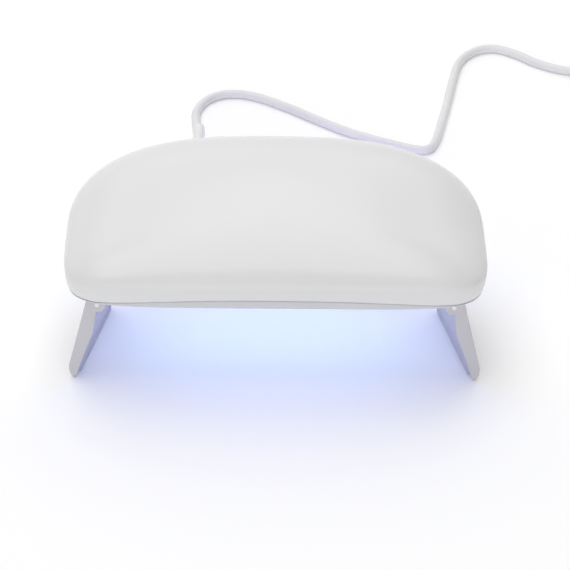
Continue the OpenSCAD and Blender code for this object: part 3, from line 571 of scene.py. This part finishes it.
def beadMesh(v, c):
    # Its gap to the cover opens where the edge arches up, and its roundings shrink where it is low
    turn = evenTurns(c)
    start = c["tuck"] * (1 - math.sqrt(1 - ((c["waistHeight"] - c["lipHeight"]) / (c["waistHeight"] + 1)) ** 2))
    lip = lipHeights(c, turn)
    top = lip - v["gap"][0] - (v["gap"][1] - v["gap"][0]) * ((lip - c["lipHeight"]) / c["lipArch"]) ** 2
    below = np.minimum(v["round"], v["share"][0] * (top - v["foot"]))
    above = np.minimum(v["topRound"], v["share"][1] * (top - v["foot"]))

    def ring(inset, height):
        x, y = outlinePoints(c, turn, inset)
        return np.stack([x, y, c["rim"] + height + 0 * x], 1)

    rings = [ring(start + v["deep"], v["foot"])]
    rings += [ring(start + below * (1 - s), v["foot"] + below * (1 - k)) for s, k in quarterArc(v["steps"])]
    rings += [ring(start + above * (1 - k), top - above * (1 - s)) for s, k in quarterArc(v["steps"])]
    rings.append(ring(start + v["deep"], top))
    return skinMesh("rim_bead", rings, True)


rimBead = newPiece("rim_bead", beadMesh(bead, cover), "housing", "base")
smoothFaces(rimBead.data, pieceShading)

# Leg: a plate with a deep rounded flange round its edge, in its hinge's frame
# (x outward, y rearward along the hinge, u down the leg)
leg = dict(
    hinge=(56.5, -33.0, 32.6), toe=13.5, splay=14.0, length=46.0, top=2.0, reach=35.0,
    out=3.75, plate=2.0, flange=2.2, root=3.9, deep=4.75, peak=13.0, foot=3.2, footRun=2.0, fade=1.3,
    taper=2.0, footCorner=4.6, topCorner=1.2, leastCorner=0.15, cornerSteps=6, sideSteps=24,
    edge=0.55, lipEdge=0.35, fillet=0.8, edgeSteps=4, toeIn=1.5, toeFrom=6.2,
    knuckle=2.6, knuckleIn=0.05, lugAt=(2.2, 40.2), lugSpace=(3.6, 2.95),
)


def legOutline(v, inset):
    # Corners are (y, u, radius, first angle); each side between two corners gets even steps
    taper = v["taper"] * (v["reach"] - inset) / v["reach"]
    corners = [
        (inset, inset - v["top"], v["topCorner"], 180), (v["length"] - inset, inset - v["top"], v["topCorner"], 270),
        (v["length"] - taper - inset, v["reach"] - inset, v["footCorner"], 0),
        (taper + inset, v["reach"] - inset, v["footCorner"], 90),
    ]
    turns, steps = v["cornerSteps"], v["sideSteps"]
    arcs = []
    for y, u, radius, start in corners:
        r = max(v["leastCorner"], radius - inset)
        cy = y + r if start in (180, 90) else y - r
        cu = u + r if start in (180, 270) else u - r
        arcs.append([(cy + r * math.cos(math.radians(start + 90 * k / turns)),
                      cu + r * math.sin(math.radians(start + 90 * k / turns))) for k in range(turns + 1)])
    points = []
    for a, b in zip(arcs, arcs[1:] + arcs[:1]):
        points += a
        (y0, u0), (y1, u1) = a[-1], b[0]
        points += [(y0 + (y1 - y0) * k / steps, u0 + (u1 - u0) * k / steps) for k in range(1, steps)]
    return points


def flangeDepth(v, u):
    if u < v["peak"]:
        return v["root"] + (v["deep"] - v["root"]) * easeIn(u / v["peak"])
    f = min(1.0, (u - v["peak"]) / (v["reach"] - v["footRun"] - v["peak"]))
    return v["deep"] - (v["deep"] - v["foot"]) * (1 - (1 - f) ** v["fade"])


def legMesh(v):
    # Rings from the outer face round its edge, over the flange's lip and down its inside to the plate
    e, l, f = v["edge"], v["lipEdge"], v["fillet"]
    arc = quarterArc(v["edgeSteps"])
    rows = [(e + 0.5, "outer", 0.0)]
    rows += [(e * (1 - s), "outer", -e * (1 - c)) for s, c in arc]
    rows += [(l * (1 - c), "lip", l * (1 - s)) for s, c in arc]
    rows += [(v["flange"] - l * (1 - s), "lip", l * (1 - c)) for s, c in arc]
    rows += [(v["flange"] + f * (1 - c), "floor", -f * (1 - s)) for s, c in arc]
    rings = []
    for inset, kind, shift in rows:
        ring = []
        for y, u in legOutline(v, inset):
            outer = v["out"] - v["toeIn"] * easeIn((u - v["reach"] + v["toeFrom"]) / v["toeFrom"])
            x = {"outer": outer, "lip": v["out"] - flangeDepth(v, u), "floor": outer - v["plate"]}[kind]
            ring.append((x + shift, y, -u))
        rings.append(ring)
    return ringSkin(rings)


def legBar(v, y, wide, radius, steps=40):
    return straightBar(circleOutline(radius, steps), (0, y, 0), (1, 0, 0), (0, 0, 1), (0, 1, 0), wide)


def standLeg(obj, v, side):
    # Splays the leg, turns it to its hinge's toe-in and stands its foot on the table
    splay, toe = math.radians(v["splay"]), math.radians(v["toe"])
    hx, hy, hz = v["hinge"]
    for vert in obj.data.vertices:
        x, y, z = (c / mm for c in vert.co)
        x, z = x * math.cos(splay) - z * math.sin(splay), x * math.sin(splay) + z * math.cos(splay)
        x, y = x * math.cos(toe) - y * math.sin(toe), x * math.sin(toe) + y * math.cos(toe)
        vert.co = (side * (hx + x) * mm, (hy + y) * mm, max(0.0, hz + z) * mm)
    fixedNormals(obj.data)
    smoothFaces(obj.data, legShading)


# Pins: the end that shows in the flange is a small dome on a neck
pin = dict(headRadius=0.85, headRise=0.3, headSteps=6, neck=0.5, radius=1.5, length=6.0, bevel=0.3, steps=32)


def pinMesh(v, mirror):
    head, end, e = v["headRadius"], v["length"], v["bevel"]
    profile = [(2 * pointRadius, -v["headRise"])]
    profile += [(head * s, -v["headRise"] * c) for s, c in quarterArc(v["headSteps"])[1:]]
    profile += [(head, v["neck"]), (v["radius"], v["neck"]), (v["radius"], end - e), (v["radius"] - e, end),
                (2 * pointRadius, end)]
    turns = [2 * math.pi * k / v["steps"] for k in range(v["steps"])]
    return ringSkin([[(r * math.cos(a), mirror(y), r * math.sin(a)) for r, y in profile] for a in turns], True)


legPieces, pinPieces = [], []
for side, name in ((-1, "left"), (1, "right")):
    piece = newPiece(name + "_side", meshFrom(name + "_side", *legMesh(leg)), name + "_leg", "leg", name + "_leg")
    fixedNormals(piece.data)
    far, sunk = leg["length"] - leg["flange"], leg["knuckleIn"]
    carve(piece, [legBar(leg, y + sunk, leg["flange"] - 2 * sunk, leg["knuckle"]) for y in (0.0, far)], "UNION")
    wide, radius = leg["lugSpace"]
    carve(piece, [legBar(leg, y, wide, radius) for y in leg["lugAt"]])
    standLeg(piece, leg, side)
    legPieces.append(piece)
    ends = joined(pinMesh(pin, lambda y: y), pinMesh(pin, lambda y: leg["length"] - y))
    pair = newPiece(name + "_pins", meshFrom(name + "_pins", *ends), name + "_leg", "steel", name + "_hinge_pins")
    standLeg(pair, leg, side)
    pinPieces.append(pair)
print("stage: legs stood")

# Solids kept as they are, shaded round where their facets are
for name in ("bottom_cover", "reflector_panel", "strain_relief", "timer_button", "lamp_lenses", "cover_screws",
             "lamp_board"):
    softenShading(nodes[name], solidShading)
print("stage: carried-over solids shaded")

def newMaterial(name):
    m = bpy.data.materials.new(name)
    m.use_nodes = True
    tree = m.node_tree
    return m, tree, tree.nodes["Principled BSDF"]


def addNode(tree, kind, sockets=None, **settings):
    # Sockets take a plain value, or an output of another node to link from
    made = tree.nodes.new(kind)
    for key, value in settings.items():
        setattr(made, key, value)
    for key, value in (sockets or {}).items():
        if isinstance(value, bpy.types.NodeSocket):
            tree.links.new(value, made.inputs[key])
        else:
            made.inputs[key].default_value = value
    return made


def newGroup(name, inputs, outputs):
    tree = bpy.data.node_groups.new(name, "ShaderNodeTree")
    for label, kind, value in inputs:
        socket = tree.interface.new_socket(name=label, in_out="INPUT", socket_type="NodeSocket" + kind)
        socket.default_value = value
    for label, kind in outputs:
        tree.interface.new_socket(name=label, in_out="OUTPUT", socket_type="NodeSocket" + kind)
    return tree, tree.nodes.new("NodeGroupInput").outputs, tree.nodes.new("NodeGroupOutput").inputs


def useGroup(tree, group, sockets):
    return addNode(tree, "ShaderNodeGroup", sockets, node_tree=group).outputs


def vectorMath(tree, operation, *values):
    return addNode(tree, "ShaderNodeVectorMath", dict(enumerate(values)), operation=operation).outputs


def millimetres(tree):
    place = addNode(tree, "ShaderNodeTexCoord").outputs["Object"]
    return vectorMath(tree, "MULTIPLY", place, (1 / mm, 1 / mm, 1 / mm))[0]


def mathNode(tree, operation, a, b=0.0, clamp=False):
    return addNode(tree, "ShaderNodeMath", {0: a, 1: b}, operation=operation, use_clamp=clamp).outputs[0]


def spread(tree, value, low, high, toLow=0.0, toHigh=1.0, smooth=False):
    kind = "SMOOTHSTEP" if smooth else "LINEAR"
    return addNode(tree, "ShaderNodeMapRange", {
        "Value": value, "From Min": low, "From Max": high, "To Min": toLow, "To Max": toHigh
    }, interpolation_type=kind).outputs[0]


def noise(tree, place, scale, detail, roughness=0.5, distortion=0.0):
    sockets = {"Vector": place, "Scale": scale, "Detail": detail, "Roughness": roughness, "Distortion": distortion}
    return addNode(tree, "ShaderNodeTexNoise", sockets).outputs["Fac"]


def waves(tree, place, scale, axis, distortion, offset=0.0):
    sockets = {"Vector": place, "Scale": scale, "Distortion": distortion, "Phase Offset": offset}
    return addNode(tree, "ShaderNodeTexWave", sockets, wave_type="BANDS", bands_direction=axis).outputs["Fac"]


def mixTone(tree, share, a, b):
    a, b = (c if isinstance(c, bpy.types.NodeSocket) else tuple(c) + (1.0,) for c in (a, b))
    return addNode(tree, "ShaderNodeMix", {0: share, 6: a, 7: b}, data_type="RGBA").outputs[2]


def bumpNode(tree, strength, depth, height, normal=None):
    sockets = {"Strength": strength, "Distance": depth * mm, "Height": height}
    if normal:
        sockets["Normal"] = normal
    return addNode(tree, "ShaderNodeBump", sockets).outputs[0]


def feedSurface(tree, bsdf, tone, rough, normal):
    tree.links.new(tone, bsdf.inputs["Base Color"])
    tree.links.new(rough, bsdf.inputs["Roughness"])
    tree.links.new(normal, bsdf.inputs["Normal"])


def rubbed(tree, skin, v):
    return spread(tree, skin["Rub"], 0.0, 1.0, v["rough"], v["roughRubbed"])


def mouldedSkinGroup():
    # Surface of a plastic moulding: fine skin texture, slow flow marks and rubbed patches
    tree, given, out = newGroup(
        "mouldedSkin", [("Grain Size", "Float", 0.4), ("Flow Size", "Float", 30.0)],
        [("Height", "Float"), ("Flow", "Float"), ("Rub", "Float")],
    )
    place = millimetres(tree)
    fine = mathNode(tree, "DIVIDE", 1.0, given["Grain Size"])
    slow = mathNode(tree, "DIVIDE", 1.0, given["Flow Size"])
    flow = noise(tree, place, slow, 2.0, distortion=0.6)
    rub = noise(tree, place, mathNode(tree, "MULTIPLY", slow, 3.7), 5.0, 0.62, 1.2)
    tree.links.new(noise(tree, place, fine, 2.0), out["Height"])
    tree.links.new(spread(tree, flow, 0.3, 0.7), out["Flow"])
    tree.links.new(spread(tree, rub, 0.46, 0.68, smooth=True), out["Rub"])
    return tree


def softEdgeGroup():
    # Rounds the look of an edge, and masks where edges are
    tree, given, out = newGroup(
        "softEdge", [("Radius", "Float", 0.3)], [("Normal", "Vector"), ("Edge", "Float")],
    )
    radius = mathNode(tree, "MULTIPLY", given["Radius"], mm)
    rounded = addNode(tree, "ShaderNodeBevel", {"Radius": radius}, samples=4).outputs[0]
    flat = addNode(tree, "ShaderNodeNewGeometry").outputs["Normal"]
    facing = vectorMath(tree, "DOT_PRODUCT", rounded, flat)["Value"]
    tree.links.new(rounded, out["Normal"])
    tree.links.new(spread(tree, facing, 0.995, 0.75), out["Edge"])
    return tree


def drawnLinesGroup():
    # Fine lines left by drawing, rolling or turning metal, along the axis that is stretched least
    tree, given, out = newGroup(
        "drawnLines", [("Stretch", "Vector", (1.0, 1.0, 1.0))], [("Streak", "Float"), ("Height", "Float")],
    )
    place = millimetres(tree)
    pulled = vectorMath(tree, "MULTIPLY", place, given["Stretch"])[0]
    lines = noise(tree, pulled, 1.0, 3.0)
    streak = mathNode(tree, "MULTIPLY", lines, noise(tree, place, 0.25, 2.0))
    tree.links.new(spread(tree, streak, 0.12, 0.42), out["Streak"])
    tree.links.new(lines, out["Height"])
    return tree


def settledDustGroup():
    # Faint film on what faces up
    tree, given, out = newGroup("settledDust", [("Amount", "Float", 0.3)], [("Film", "Float")])
    facing = addNode(tree, "ShaderNodeSeparateXYZ", {0: addNode(tree, "ShaderNodeNewGeometry").outputs["Normal"]})
    up = spread(tree, facing.outputs["Z"], 0.2, 1.0)
    cloud = spread(tree, noise(tree, millimetres(tree), 0.9, 6.0, 0.7), 0.42, 0.75)
    film = mathNode(tree, "MULTIPLY", mathNode(tree, "MULTIPLY", up, cloud), given["Amount"])
    tree.links.new(film, out["Film"])
    return tree


mouldedSkin = mouldedSkinGroup()
softEdge = softEdgeGroup()
drawnLines = drawnLinesGroup()
settledDust = settledDustGroup()


dustTone, dustRough = (0.62, 0.61, 0.59), 0.3


def skinParts(tree, v):
    skin = useGroup(tree, mouldedSkin, {"Grain Size": v["grain"], "Flow Size": v["flow"]})
    return skin, useGroup(tree, softEdge, {"Radius": v["edge"]})


def mouldedPlastic(name, v):
    m, tree, bsdf = newMaterial(name)
    skin, edge = skinParts(tree, v)
    film = useGroup(tree, settledDust, {"Amount": v["dust"]})["Film"]
    tone = mixTone(tree, skin["Flow"], v["tone"], v["toneDeep"])
    tone = mixTone(tree, edge["Edge"], tone, v["toneEdge"])
    tone = mixTone(tree, film, tone, dustTone)
    rough = mathNode(tree, "ADD", rubbed(tree, skin, v), mathNode(tree, "MULTIPLY", film, dustRough))
    feedSurface(tree, bsdf, tone, rough, bumpNode(tree, v["bump"], 0.1, skin["Height"], edge["Normal"]))
    if "depth" in v:
        bsdf.inputs["Subsurface Weight"].default_value = v["depth"]
        bsdf.inputs["Subsurface Radius"].default_value = (1.0, 0.9, 0.8)
        bsdf.inputs["Subsurface Scale"].default_value = 1.2 * mm
    return m


def platedMetal(name, v):
    m, tree, bsdf = newMaterial(name)
    lines = useGroup(tree, drawnLines, {"Stretch": v["stretch"]})
    edge = useGroup(tree, softEdge, {"Radius": v["edge"]})
    tone = mixTone(tree, lines["Streak"], v["tone"], v["toneStreak"])
    tone = mixTone(tree, edge["Edge"], tone, v["toneEdge"])
    rough = spread(tree, lines["Streak"], 0.0, 1.0, v["rough"], v["roughStreak"])
    feedSurface(tree, bsdf, tone, rough, bumpNode(tree, v["bump"], 0.05, lines["Height"], edge["Normal"]))
    bsdf.inputs["Metallic"].default_value = 1.0
    return m


def setFinish(material, *names):
    for name in names:
        piece = nodes[name] if isinstance(name, str) else name
        slots = piece.data.materials
        if len(slots):
            for k in range(len(slots)):
                slots[k] = material
        else:
            slots.append(material)


shellFinish = dict(
    tone=(0.735, 0.735, 0.74), toneDeep=(0.722, 0.722, 0.728), toneEdge=(0.77, 0.77, 0.775),
    rough=0.24, roughRubbed=0.27, grain=0.9, flow=38.0, bump=0.008, edge=0.3, dust=0.01,
)
setFinish(mouldedPlastic("glossyWhiteShell", shellFinish), shell)

baseFinish = dict(
    tone=(0.64, 0.645, 0.66), toneDeep=(0.615, 0.62, 0.64), toneEdge=(0.68, 0.685, 0.70),
    rough=0.42, roughRubbed=0.5, grain=0.35, flow=24.0, bump=0.12, edge=0.15, dust=0.03,
)
setFinish(mouldedPlastic("satinBase", baseFinish), "bottom_cover", "cord_clamp", rimBead)

# The legs' tone is darker and bluer than the shell's: painted shade and a painted tint of the lamps' violet glow on
# the same white plastic
legFinishPaintedShade = dict(
    tone=(0.565, 0.55, 0.59), toneDeep=(0.54, 0.527, 0.57), toneEdge=(0.6, 0.585, 0.625),
    rough=0.36, roughRubbed=0.45, grain=0.4, flow=20.0, bump=0.08, edge=0.08, dust=0.03,
)
setFinish(mouldedPlastic("satinLegPaintedShade", legFinishPaintedShade), *legPieces)

buttonFinish = dict(
    tone=(0.70, 0.705, 0.715), toneDeep=(0.68, 0.685, 0.70), toneEdge=(0.8, 0.8, 0.81),
    rough=0.25, roughRubbed=0.42, grain=0.5, flow=9.0, bump=0.06, edge=0.35, dust=0.02,
)
setFinish(mouldedPlastic("glossyButton", buttonFinish), "timer_button")

jacketFinish = dict(
    tone=(0.78, 0.78, 0.785), toneDeep=(0.75, 0.75, 0.757), toneEdge=(0.8, 0.8, 0.805),
    rough=0.42, roughRubbed=0.52, grain=0.7, flow=16.0, bump=0.18, edge=0.1, dust=0.04, depth=0.15,
)
setFinish(mouldedPlastic("softWhiteJacket", jacketFinish), leadCord, "strain_relief", "lead_tail")

gripFinish = dict(
    tone=(0.76, 0.76, 0.765), toneDeep=(0.735, 0.735, 0.742), toneEdge=(0.81, 0.81, 0.815),
    rough=0.38, roughRubbed=0.48, grain=0.45, flow=10.0, bump=0.14, edge=0.2, dust=0.03,
)
setFinish(mouldedPlastic("satinGrip", gripFinish), gripPiece)

tongueFinish = dict(gripFinish, tone=(0.8, 0.8, 0.8), toneDeep=(0.78, 0.78, 0.785), rough=0.3)
setFinish(mouldedPlastic("plugTongue", tongueFinish), "plug_tongue")

socketFinish = dict(
    tone=(0.78, 0.75, 0.66), toneDeep=(0.74, 0.71, 0.62), toneEdge=(0.84, 0.82, 0.74),
    rough=0.45, roughRubbed=0.55, grain=0.3, flow=5.0, bump=0.15, edge=0.2, dust=0.05,
)
setFinish(mouldedPlastic("nylonSocket", socketFinish), "wire_sockets")

componentFinish = dict(
    tone=(0.02, 0.02, 0.022), toneDeep=(0.03, 0.03, 0.033), toneEdge=(0.07, 0.07, 0.075),
    rough=0.5, roughRubbed=0.62, grain=0.12, flow=4.0, bump=0.3, edge=0.15, dust=0.08,
)
setFinish(mouldedPlastic("darkComponent", componentFinish), "board_parts", "power_coil", "tact_switch")

plungerFinish = dict(
    tone=(0.72, 0.28, 0.06), toneDeep=(0.66, 0.25, 0.05), toneEdge=(0.8, 0.36, 0.1),
    rough=0.42, roughRubbed=0.5, grain=0.2, flow=3.0, bump=0.1, edge=0.15, dust=0.03,
)
setFinish(mouldedPlastic("amberPlunger", plungerFinish), "switch_plunger")

wireFinish = dict(
    red=dict(tone=(0.48, 0.05, 0.04), toneDeep=(0.42, 0.045, 0.035), toneEdge=(0.55, 0.08, 0.06)),
    dark=dict(tone=(0.05, 0.05, 0.055), toneDeep=(0.04, 0.04, 0.045), toneEdge=(0.09, 0.09, 0.095)),
    both=dict(rough=0.4, roughRubbed=0.5, grain=0.3, flow=6.0, bump=0.1, edge=0.05, dust=0.04),
)
for tint in ("red", "dark"):
    jacket = mouldedPlastic(tint + "Insulation", dict(wireFinish["both"], **wireFinish[tint]))
    setFinish(jacket, *[wire for wire, t in wirePieces if t == tint])

steelFinish = dict(
    tone=(0.62, 0.63, 0.65), toneStreak=(0.7, 0.71, 0.73), toneEdge=(0.8, 0.8, 0.82),
    rough=0.28, roughStreak=0.42, stretch=(2.0, 2.0, 14.0), bump=0.2, edge=0.15,
)
setFinish(platedMetal("platedSteel", steelFinish), "clamp_screws", "board_screws", "cover_screws")

pinFinish = dict(steelFinish, tone=(0.74, 0.74, 0.76), toneStreak=(0.8, 0.8, 0.82), rough=0.2,
                 roughStreak=0.32, stretch=(12.0, 2.0, 12.0), edge=0.3)
setFinish(platedMetal("turnedPin", pinFinish), *pinPieces)

plugShellFinish = dict(steelFinish, tone=(0.68, 0.69, 0.7), toneStreak=(0.76, 0.77, 0.78), rough=0.24,
                       roughStreak=0.36, stretch=(16.0, 1.2, 16.0))
setFinish(platedMetal("drawnPlugSteel", plugShellFinish), "plug_shell")

contactFinish = dict(steelFinish, tone=(0.83, 0.62, 0.25), toneStreak=(0.9, 0.7, 0.32),
                     toneEdge=(0.95, 0.8, 0.45), rough=0.2, roughStreak=0.32, stretch=(14.0, 1.0, 14.0))
setFinish(platedMetal("goldContact", contactFinish), "plug_contacts")

boardMetalFinish = dict(steelFinish, tone=(0.72, 0.73, 0.74), toneStreak=(0.79, 0.8, 0.81), rough=0.38,
                        roughStreak=0.5, stretch=(0.8, 12.0, 12.0))
setFinish(platedMetal("rolledAluminium", boardMetalFinish), "lamp_board")


def brightLining(name, v):
    # Vacuum-metallised plastic: nearly a mirror, with a slow orange peel
    m, tree, bsdf = newMaterial(name)
    skin, edge = skinParts(tree, v)
    tone = mixTone(tree, skin["Flow"], v["tone"], v["toneDeep"])
    bump = bumpNode(tree, v["bump"], 0.2, skin["Height"], edge["Normal"])
    feedSurface(tree, bsdf, tone, rubbed(tree, skin, v), bump)
    bsdf.inputs["Metallic"].default_value = 1.0
    return m


liningFinish = dict(tone=(0.84, 0.86, 0.9), toneDeep=(0.79, 0.81, 0.86), rough=0.14, roughRubbed=0.24,
                    grain=2.2, flow=18.0, bump=0.12, edge=0.4)
setFinish(brightLining("metallisedLining", liningFinish), "reflector_panel")


def lampSpot(tree, v):
    # Distance in millimetres from the middle of the nearest lamp, which repeats by the pitch
    dx, dy = v["pitch"]
    far = 1000.0
    moved = vectorMath(tree, "SUBTRACT", millimetres(tree), (0.0, v["middle"], 0.0))[0]
    wrapped = vectorMath(tree, "WRAP", moved, (dx / 2, dy, far), (-dx / 2, 0.0, -far))[0]
    centred = vectorMath(tree, "SUBTRACT", wrapped, (0.0, dy / 2, 0.0))[0]
    flat = vectorMath(tree, "MULTIPLY", centred, (1.0, 1.0, 0.0))[0]
    return vectorMath(tree, "LENGTH", flat)["Value"]


def litPackage(name, v):
    m, tree, bsdf = newMaterial(name)
    skin, edge = skinParts(tree, v)
    away = lampSpot(tree, v)
    pad = spread(tree, away, v["pad"], v["pad"] - v["padBlur"], smooth=True)
    chip = spread(tree, away, v["chip"] + v["chipBlur"], v["chip"] - v["chipBlur"], smooth=True)
    tone = mixTone(tree, skin["Flow"], v["tone"], v["toneDeep"])
    tone = mixTone(tree, pad, tone, v["padTone"])
    glow = mixTone(tree, chip, v["haloTone"], v["chipTone"])
    bump = bumpNode(tree, v["bump"], 0.05, skin["Height"], edge["Normal"])
    feedSurface(tree, bsdf, tone, rubbed(tree, skin, v), bump)
    tree.links.new(glow, bsdf.inputs["Emission Color"])
    bsdf.inputs["Emission Strength"].default_value = v["power"]
    return m


lampPattern = dict(middle=-2.0, pitch=(22.0, 20.0), pad=2.3, chip=1.1)
packageFinish = dict(
    lampPattern, tone=(0.86, 0.84, 0.74), toneDeep=(0.82, 0.8, 0.7), padTone=(0.8, 0.66, 0.3),
    haloTone=(0.02, 0.03, 0.12), chipTone=(0.45, 0.55, 1.0), power=3.0, padBlur=0.15, chipBlur=0.25,
    rough=0.3, roughRubbed=0.45, grain=0.1, flow=2.0, bump=0.2, edge=0.12,
)
setFinish(litPackage("litCeramicPackage", packageFinish), "lamp_packages")


def clearLens(name, v):
    m, tree, bsdf = newMaterial(name)
    skin = useGroup(tree, mouldedSkin, {"Grain Size": v["grain"], "Flow Size": v["flow"]})
    away = lampSpot(tree, v)
    tint = mixTone(tree, spread(tree, away, 0.0, v["glowTo"]), v["tone"], v["rimTone"])
    core = spread(tree, away, v["glowTo"], v["glowFrom"], smooth=True)
    bump = bumpNode(tree, v["bump"], 0.05, skin["Height"])
    feedSurface(tree, bsdf, tint, rubbed(tree, skin, v), bump)
    tree.links.new(mixTone(tree, core, v["rimGlow"], v["coreGlow"]), bsdf.inputs["Emission Color"])
    bsdf.inputs["Emission Strength"].default_value = v["power"]
    bsdf.inputs["Transmission Weight"].default_value = 1.0
    bsdf.inputs["IOR"].default_value = v["ior"]
    return m


lensFinish = dict(
    lampPattern, tone=(0.93, 0.92, 1.0), rimTone=(0.86, 0.84, 0.99), rimGlow=(0.02, 0.02, 0.08),
    coreGlow=(0.4, 0.46, 1.0), power=1.2, glowTo=2.2, glowFrom=0.2, ior=1.42,
    rough=0.03, roughRubbed=0.09, grain=0.8, flow=3.0, bump=0.05,
)
setFinish(clearLens("clearLens", lensFinish), "lamp_lenses")


def solderMaskBoard(name, v):
    m, tree, bsdf = newMaterial(name)
    skin, edge = skinParts(tree, v)
    place = millimetres(tree)
    bent = mathNode(tree, "MULTIPLY", noise(tree, place, v["bend"], 0.0), 14.0)
    trace = spread(tree, waves(tree, place, v["traces"], "Y", 0.0, bent), 0.55, 0.66, smooth=True)
    tone = mixTone(tree, trace, v["tone"], v["traceTone"])
    tone = mixTone(tree, edge["Edge"], tone, v["toneEdge"])
    height = mathNode(tree, "ADD", trace, mathNode(tree, "MULTIPLY", skin["Height"], 0.2))
    bump = bumpNode(tree, v["bump"], 0.04, height, edge["Normal"])
    feedSurface(tree, bsdf, tone, rubbed(tree, skin, v), bump)
    return m


boardFinish = dict(
    tone=(0.015, 0.12, 0.05), traceTone=(0.03, 0.2, 0.09), toneEdge=(0.3, 0.27, 0.15), traces=0.35,
    bend=0.12, rough=0.28, roughRubbed=0.4, grain=0.3, flow=8.0, bump=0.4, edge=0.12,
)
setFinish(solderMaskBoard("greenSolderMask", boardFinish), "control_board")


def wovenStrap(name, v):
    # Two crossing sets of threads with a short nap; the hollows between the threads get painted shade
    m, tree, bsdf = newMaterial(name)
    place = millimetres(tree)
    threads = [waves(tree, place, v["threads"], axis, 0.3) for axis in ("X", "Y")]
    nap = noise(tree, place, 5.0, 4.0)
    height = mathNode(tree, "ADD", mathNode(tree, "MULTIPLY", *threads), mathNode(tree, "MULTIPLY", nap, 0.7))
    # Low parts of the weave take the darker tone: painted shade between the threads
    tone = mixTone(tree, spread(tree, height, 0.2, 1.2), v["toneDeep"], v["tone"])
    rough = spread(tree, nap, 0.3, 0.7, v["rough"], v["roughNap"])
    feedSurface(tree, bsdf, tone, rough, bumpNode(tree, v["bump"], 0.1, height))
    bsdf.inputs["Sheen Weight"].default_value = 0.3
    bsdf.inputs["Sheen Roughness"].default_value = 0.4
    return m


# Here toneDeep is the painted shade in the hollows of the weave
strapFinish = dict(tone=(0.82, 0.82, 0.83), toneDeep=(0.6, 0.6, 0.62), threads=1.1, rough=0.75, roughNap=0.95,
                   bump=0.5)
setFinish(wovenStrap("wovenStrap", strapFinish), strapPiece)
print("stage: finishes applied")


stageSet = dict(floorSize=6.0, floorTone=0.93, floorLift=0.0915, floorRough=0.9, floorShine=0.1)


def plainFloor(v):
    mesh = bpy.data.meshes.new("floor")
    s = v["floorSize"] / 2
    mesh.from_pydata([(-s, -s, 0), (s, -s, 0), (s, s, 0), (-s, s, 0)], [], [(0, 1, 2, 3)])
    obj = bpy.data.objects.new("floor", mesh)
    scene.collection.objects.link(obj)
    m, tree, bsdf = newMaterial("floor")
    bsdf.inputs["Base Color"].default_value = (v["floorTone"],) * 3 + (1,)
    bsdf.inputs["Roughness"].default_value = v["floorRough"]
    bsdf.inputs["Specular IOR Level"].default_value = v["floorShine"]
    bsdf.inputs["Emission Color"].default_value = (1, 1, 1, 1)
    bsdf.inputs["Emission Strength"].default_value = v["floorLift"]
    mesh.materials.append(m)


plainFloor(stageSet)

# Softboxes and the tones of the walls round the set; the glow under the housing is the lamps' own
lights = dict(
    walls=dict(left=0.28, front=0.90, rear=1.03),
    aim=(0.0, 0.0, 0.04),
    boxes=dict(
        overhead=dict(at=(-0.12, 0.0, 1.4), size=(1.0, 1.2), watts=7.9),
        rear=dict(at=(0.0, 1.0, 1.1), size=(1.6, 0.8), watts=3.5),
        key=dict(at=(-0.03, 0.62, 1.3), size=(0.6, 0.36), watts=1.3),
        lowFront=dict(at=(0.0, -1.4, 0.5), size=(1.6, 0.6), watts=2.7),
    ),
    glow=dict(
        core=dict(at=(0.0, -0.004, 0.0366), aim=(0.0, -0.004, 0.0), size=(0.100, 0.046), watts=0.0044,
                  tint=(0.53, 1.0, 0.0), cone=120.0),
        wide=dict(at=(0.0, -0.004, 0.0363), aim=(0.0, -0.004, 0.0), size=(0.104, 0.050), watts=0.0162,
                  tint=(0.0, 0.0, 1.0)),
        spill=dict(at=(0.012, 0.047, 0.022), aim=(0.012, 0.085, 0.004), size=(0.11, 0.024), watts=0.01,
                   tint=(0.26, 0.1, 1.0)),
    ),
)


def areaLight(name, v):
    data = bpy.data.lights.new(name, "AREA")
    data.shape = "RECTANGLE"
    data.size, data.size_y = v["size"]
    data.energy = v["watts"]
    data.color = v.get("tint", (1.0, 1.0, 1.0))
    data.spread = math.radians(v.get("cone", 180.0))
    obj = bpy.data.objects.new(name, data)
    at, aim = Vector(v["at"]), Vector(v.get("aim", lights["aim"]))
    obj.matrix_world = Matrix.Translation(at) @ (aim - at).to_track_quat("-Z", "Y").to_matrix().to_4x4()
    obj.visible_camera = False
    scene.collection.objects.link(obj)


def paintWalls(v):
    # Tone of the surroundings: a share for each direction, strongest straight that way
    world = bpy.data.worlds.new("studio")
    world.use_nodes = True
    tree = world.node_tree
    toward = addNode(tree, "ShaderNodeSeparateXYZ", {0: addNode(tree, "ShaderNodeTexCoord").outputs["Generated"]})
    left = spread(tree, toward.outputs["X"], 0.0, -1.0, 0.0, v["left"])
    front = spread(tree, toward.outputs["Y"], 0.0, -1.0, 0.0, v["front"])
    rear = spread(tree, toward.outputs["Y"], 0.0, 1.0, 0.0, v["rear"])
    tone = mathNode(tree, "ADD", mathNode(tree, "ADD", left, front), rear)
    tree.links.new(tone, tree.nodes["Background"].inputs["Strength"])
    tree.nodes["Background"].inputs["Color"].default_value = (1, 1, 1, 1)
    scene.world = world


paintWalls(lights["walls"])
for name, v in {**lights["boxes"], **lights["glow"]}.items():
    areaLight(name, v)
print("stage: studio lit")
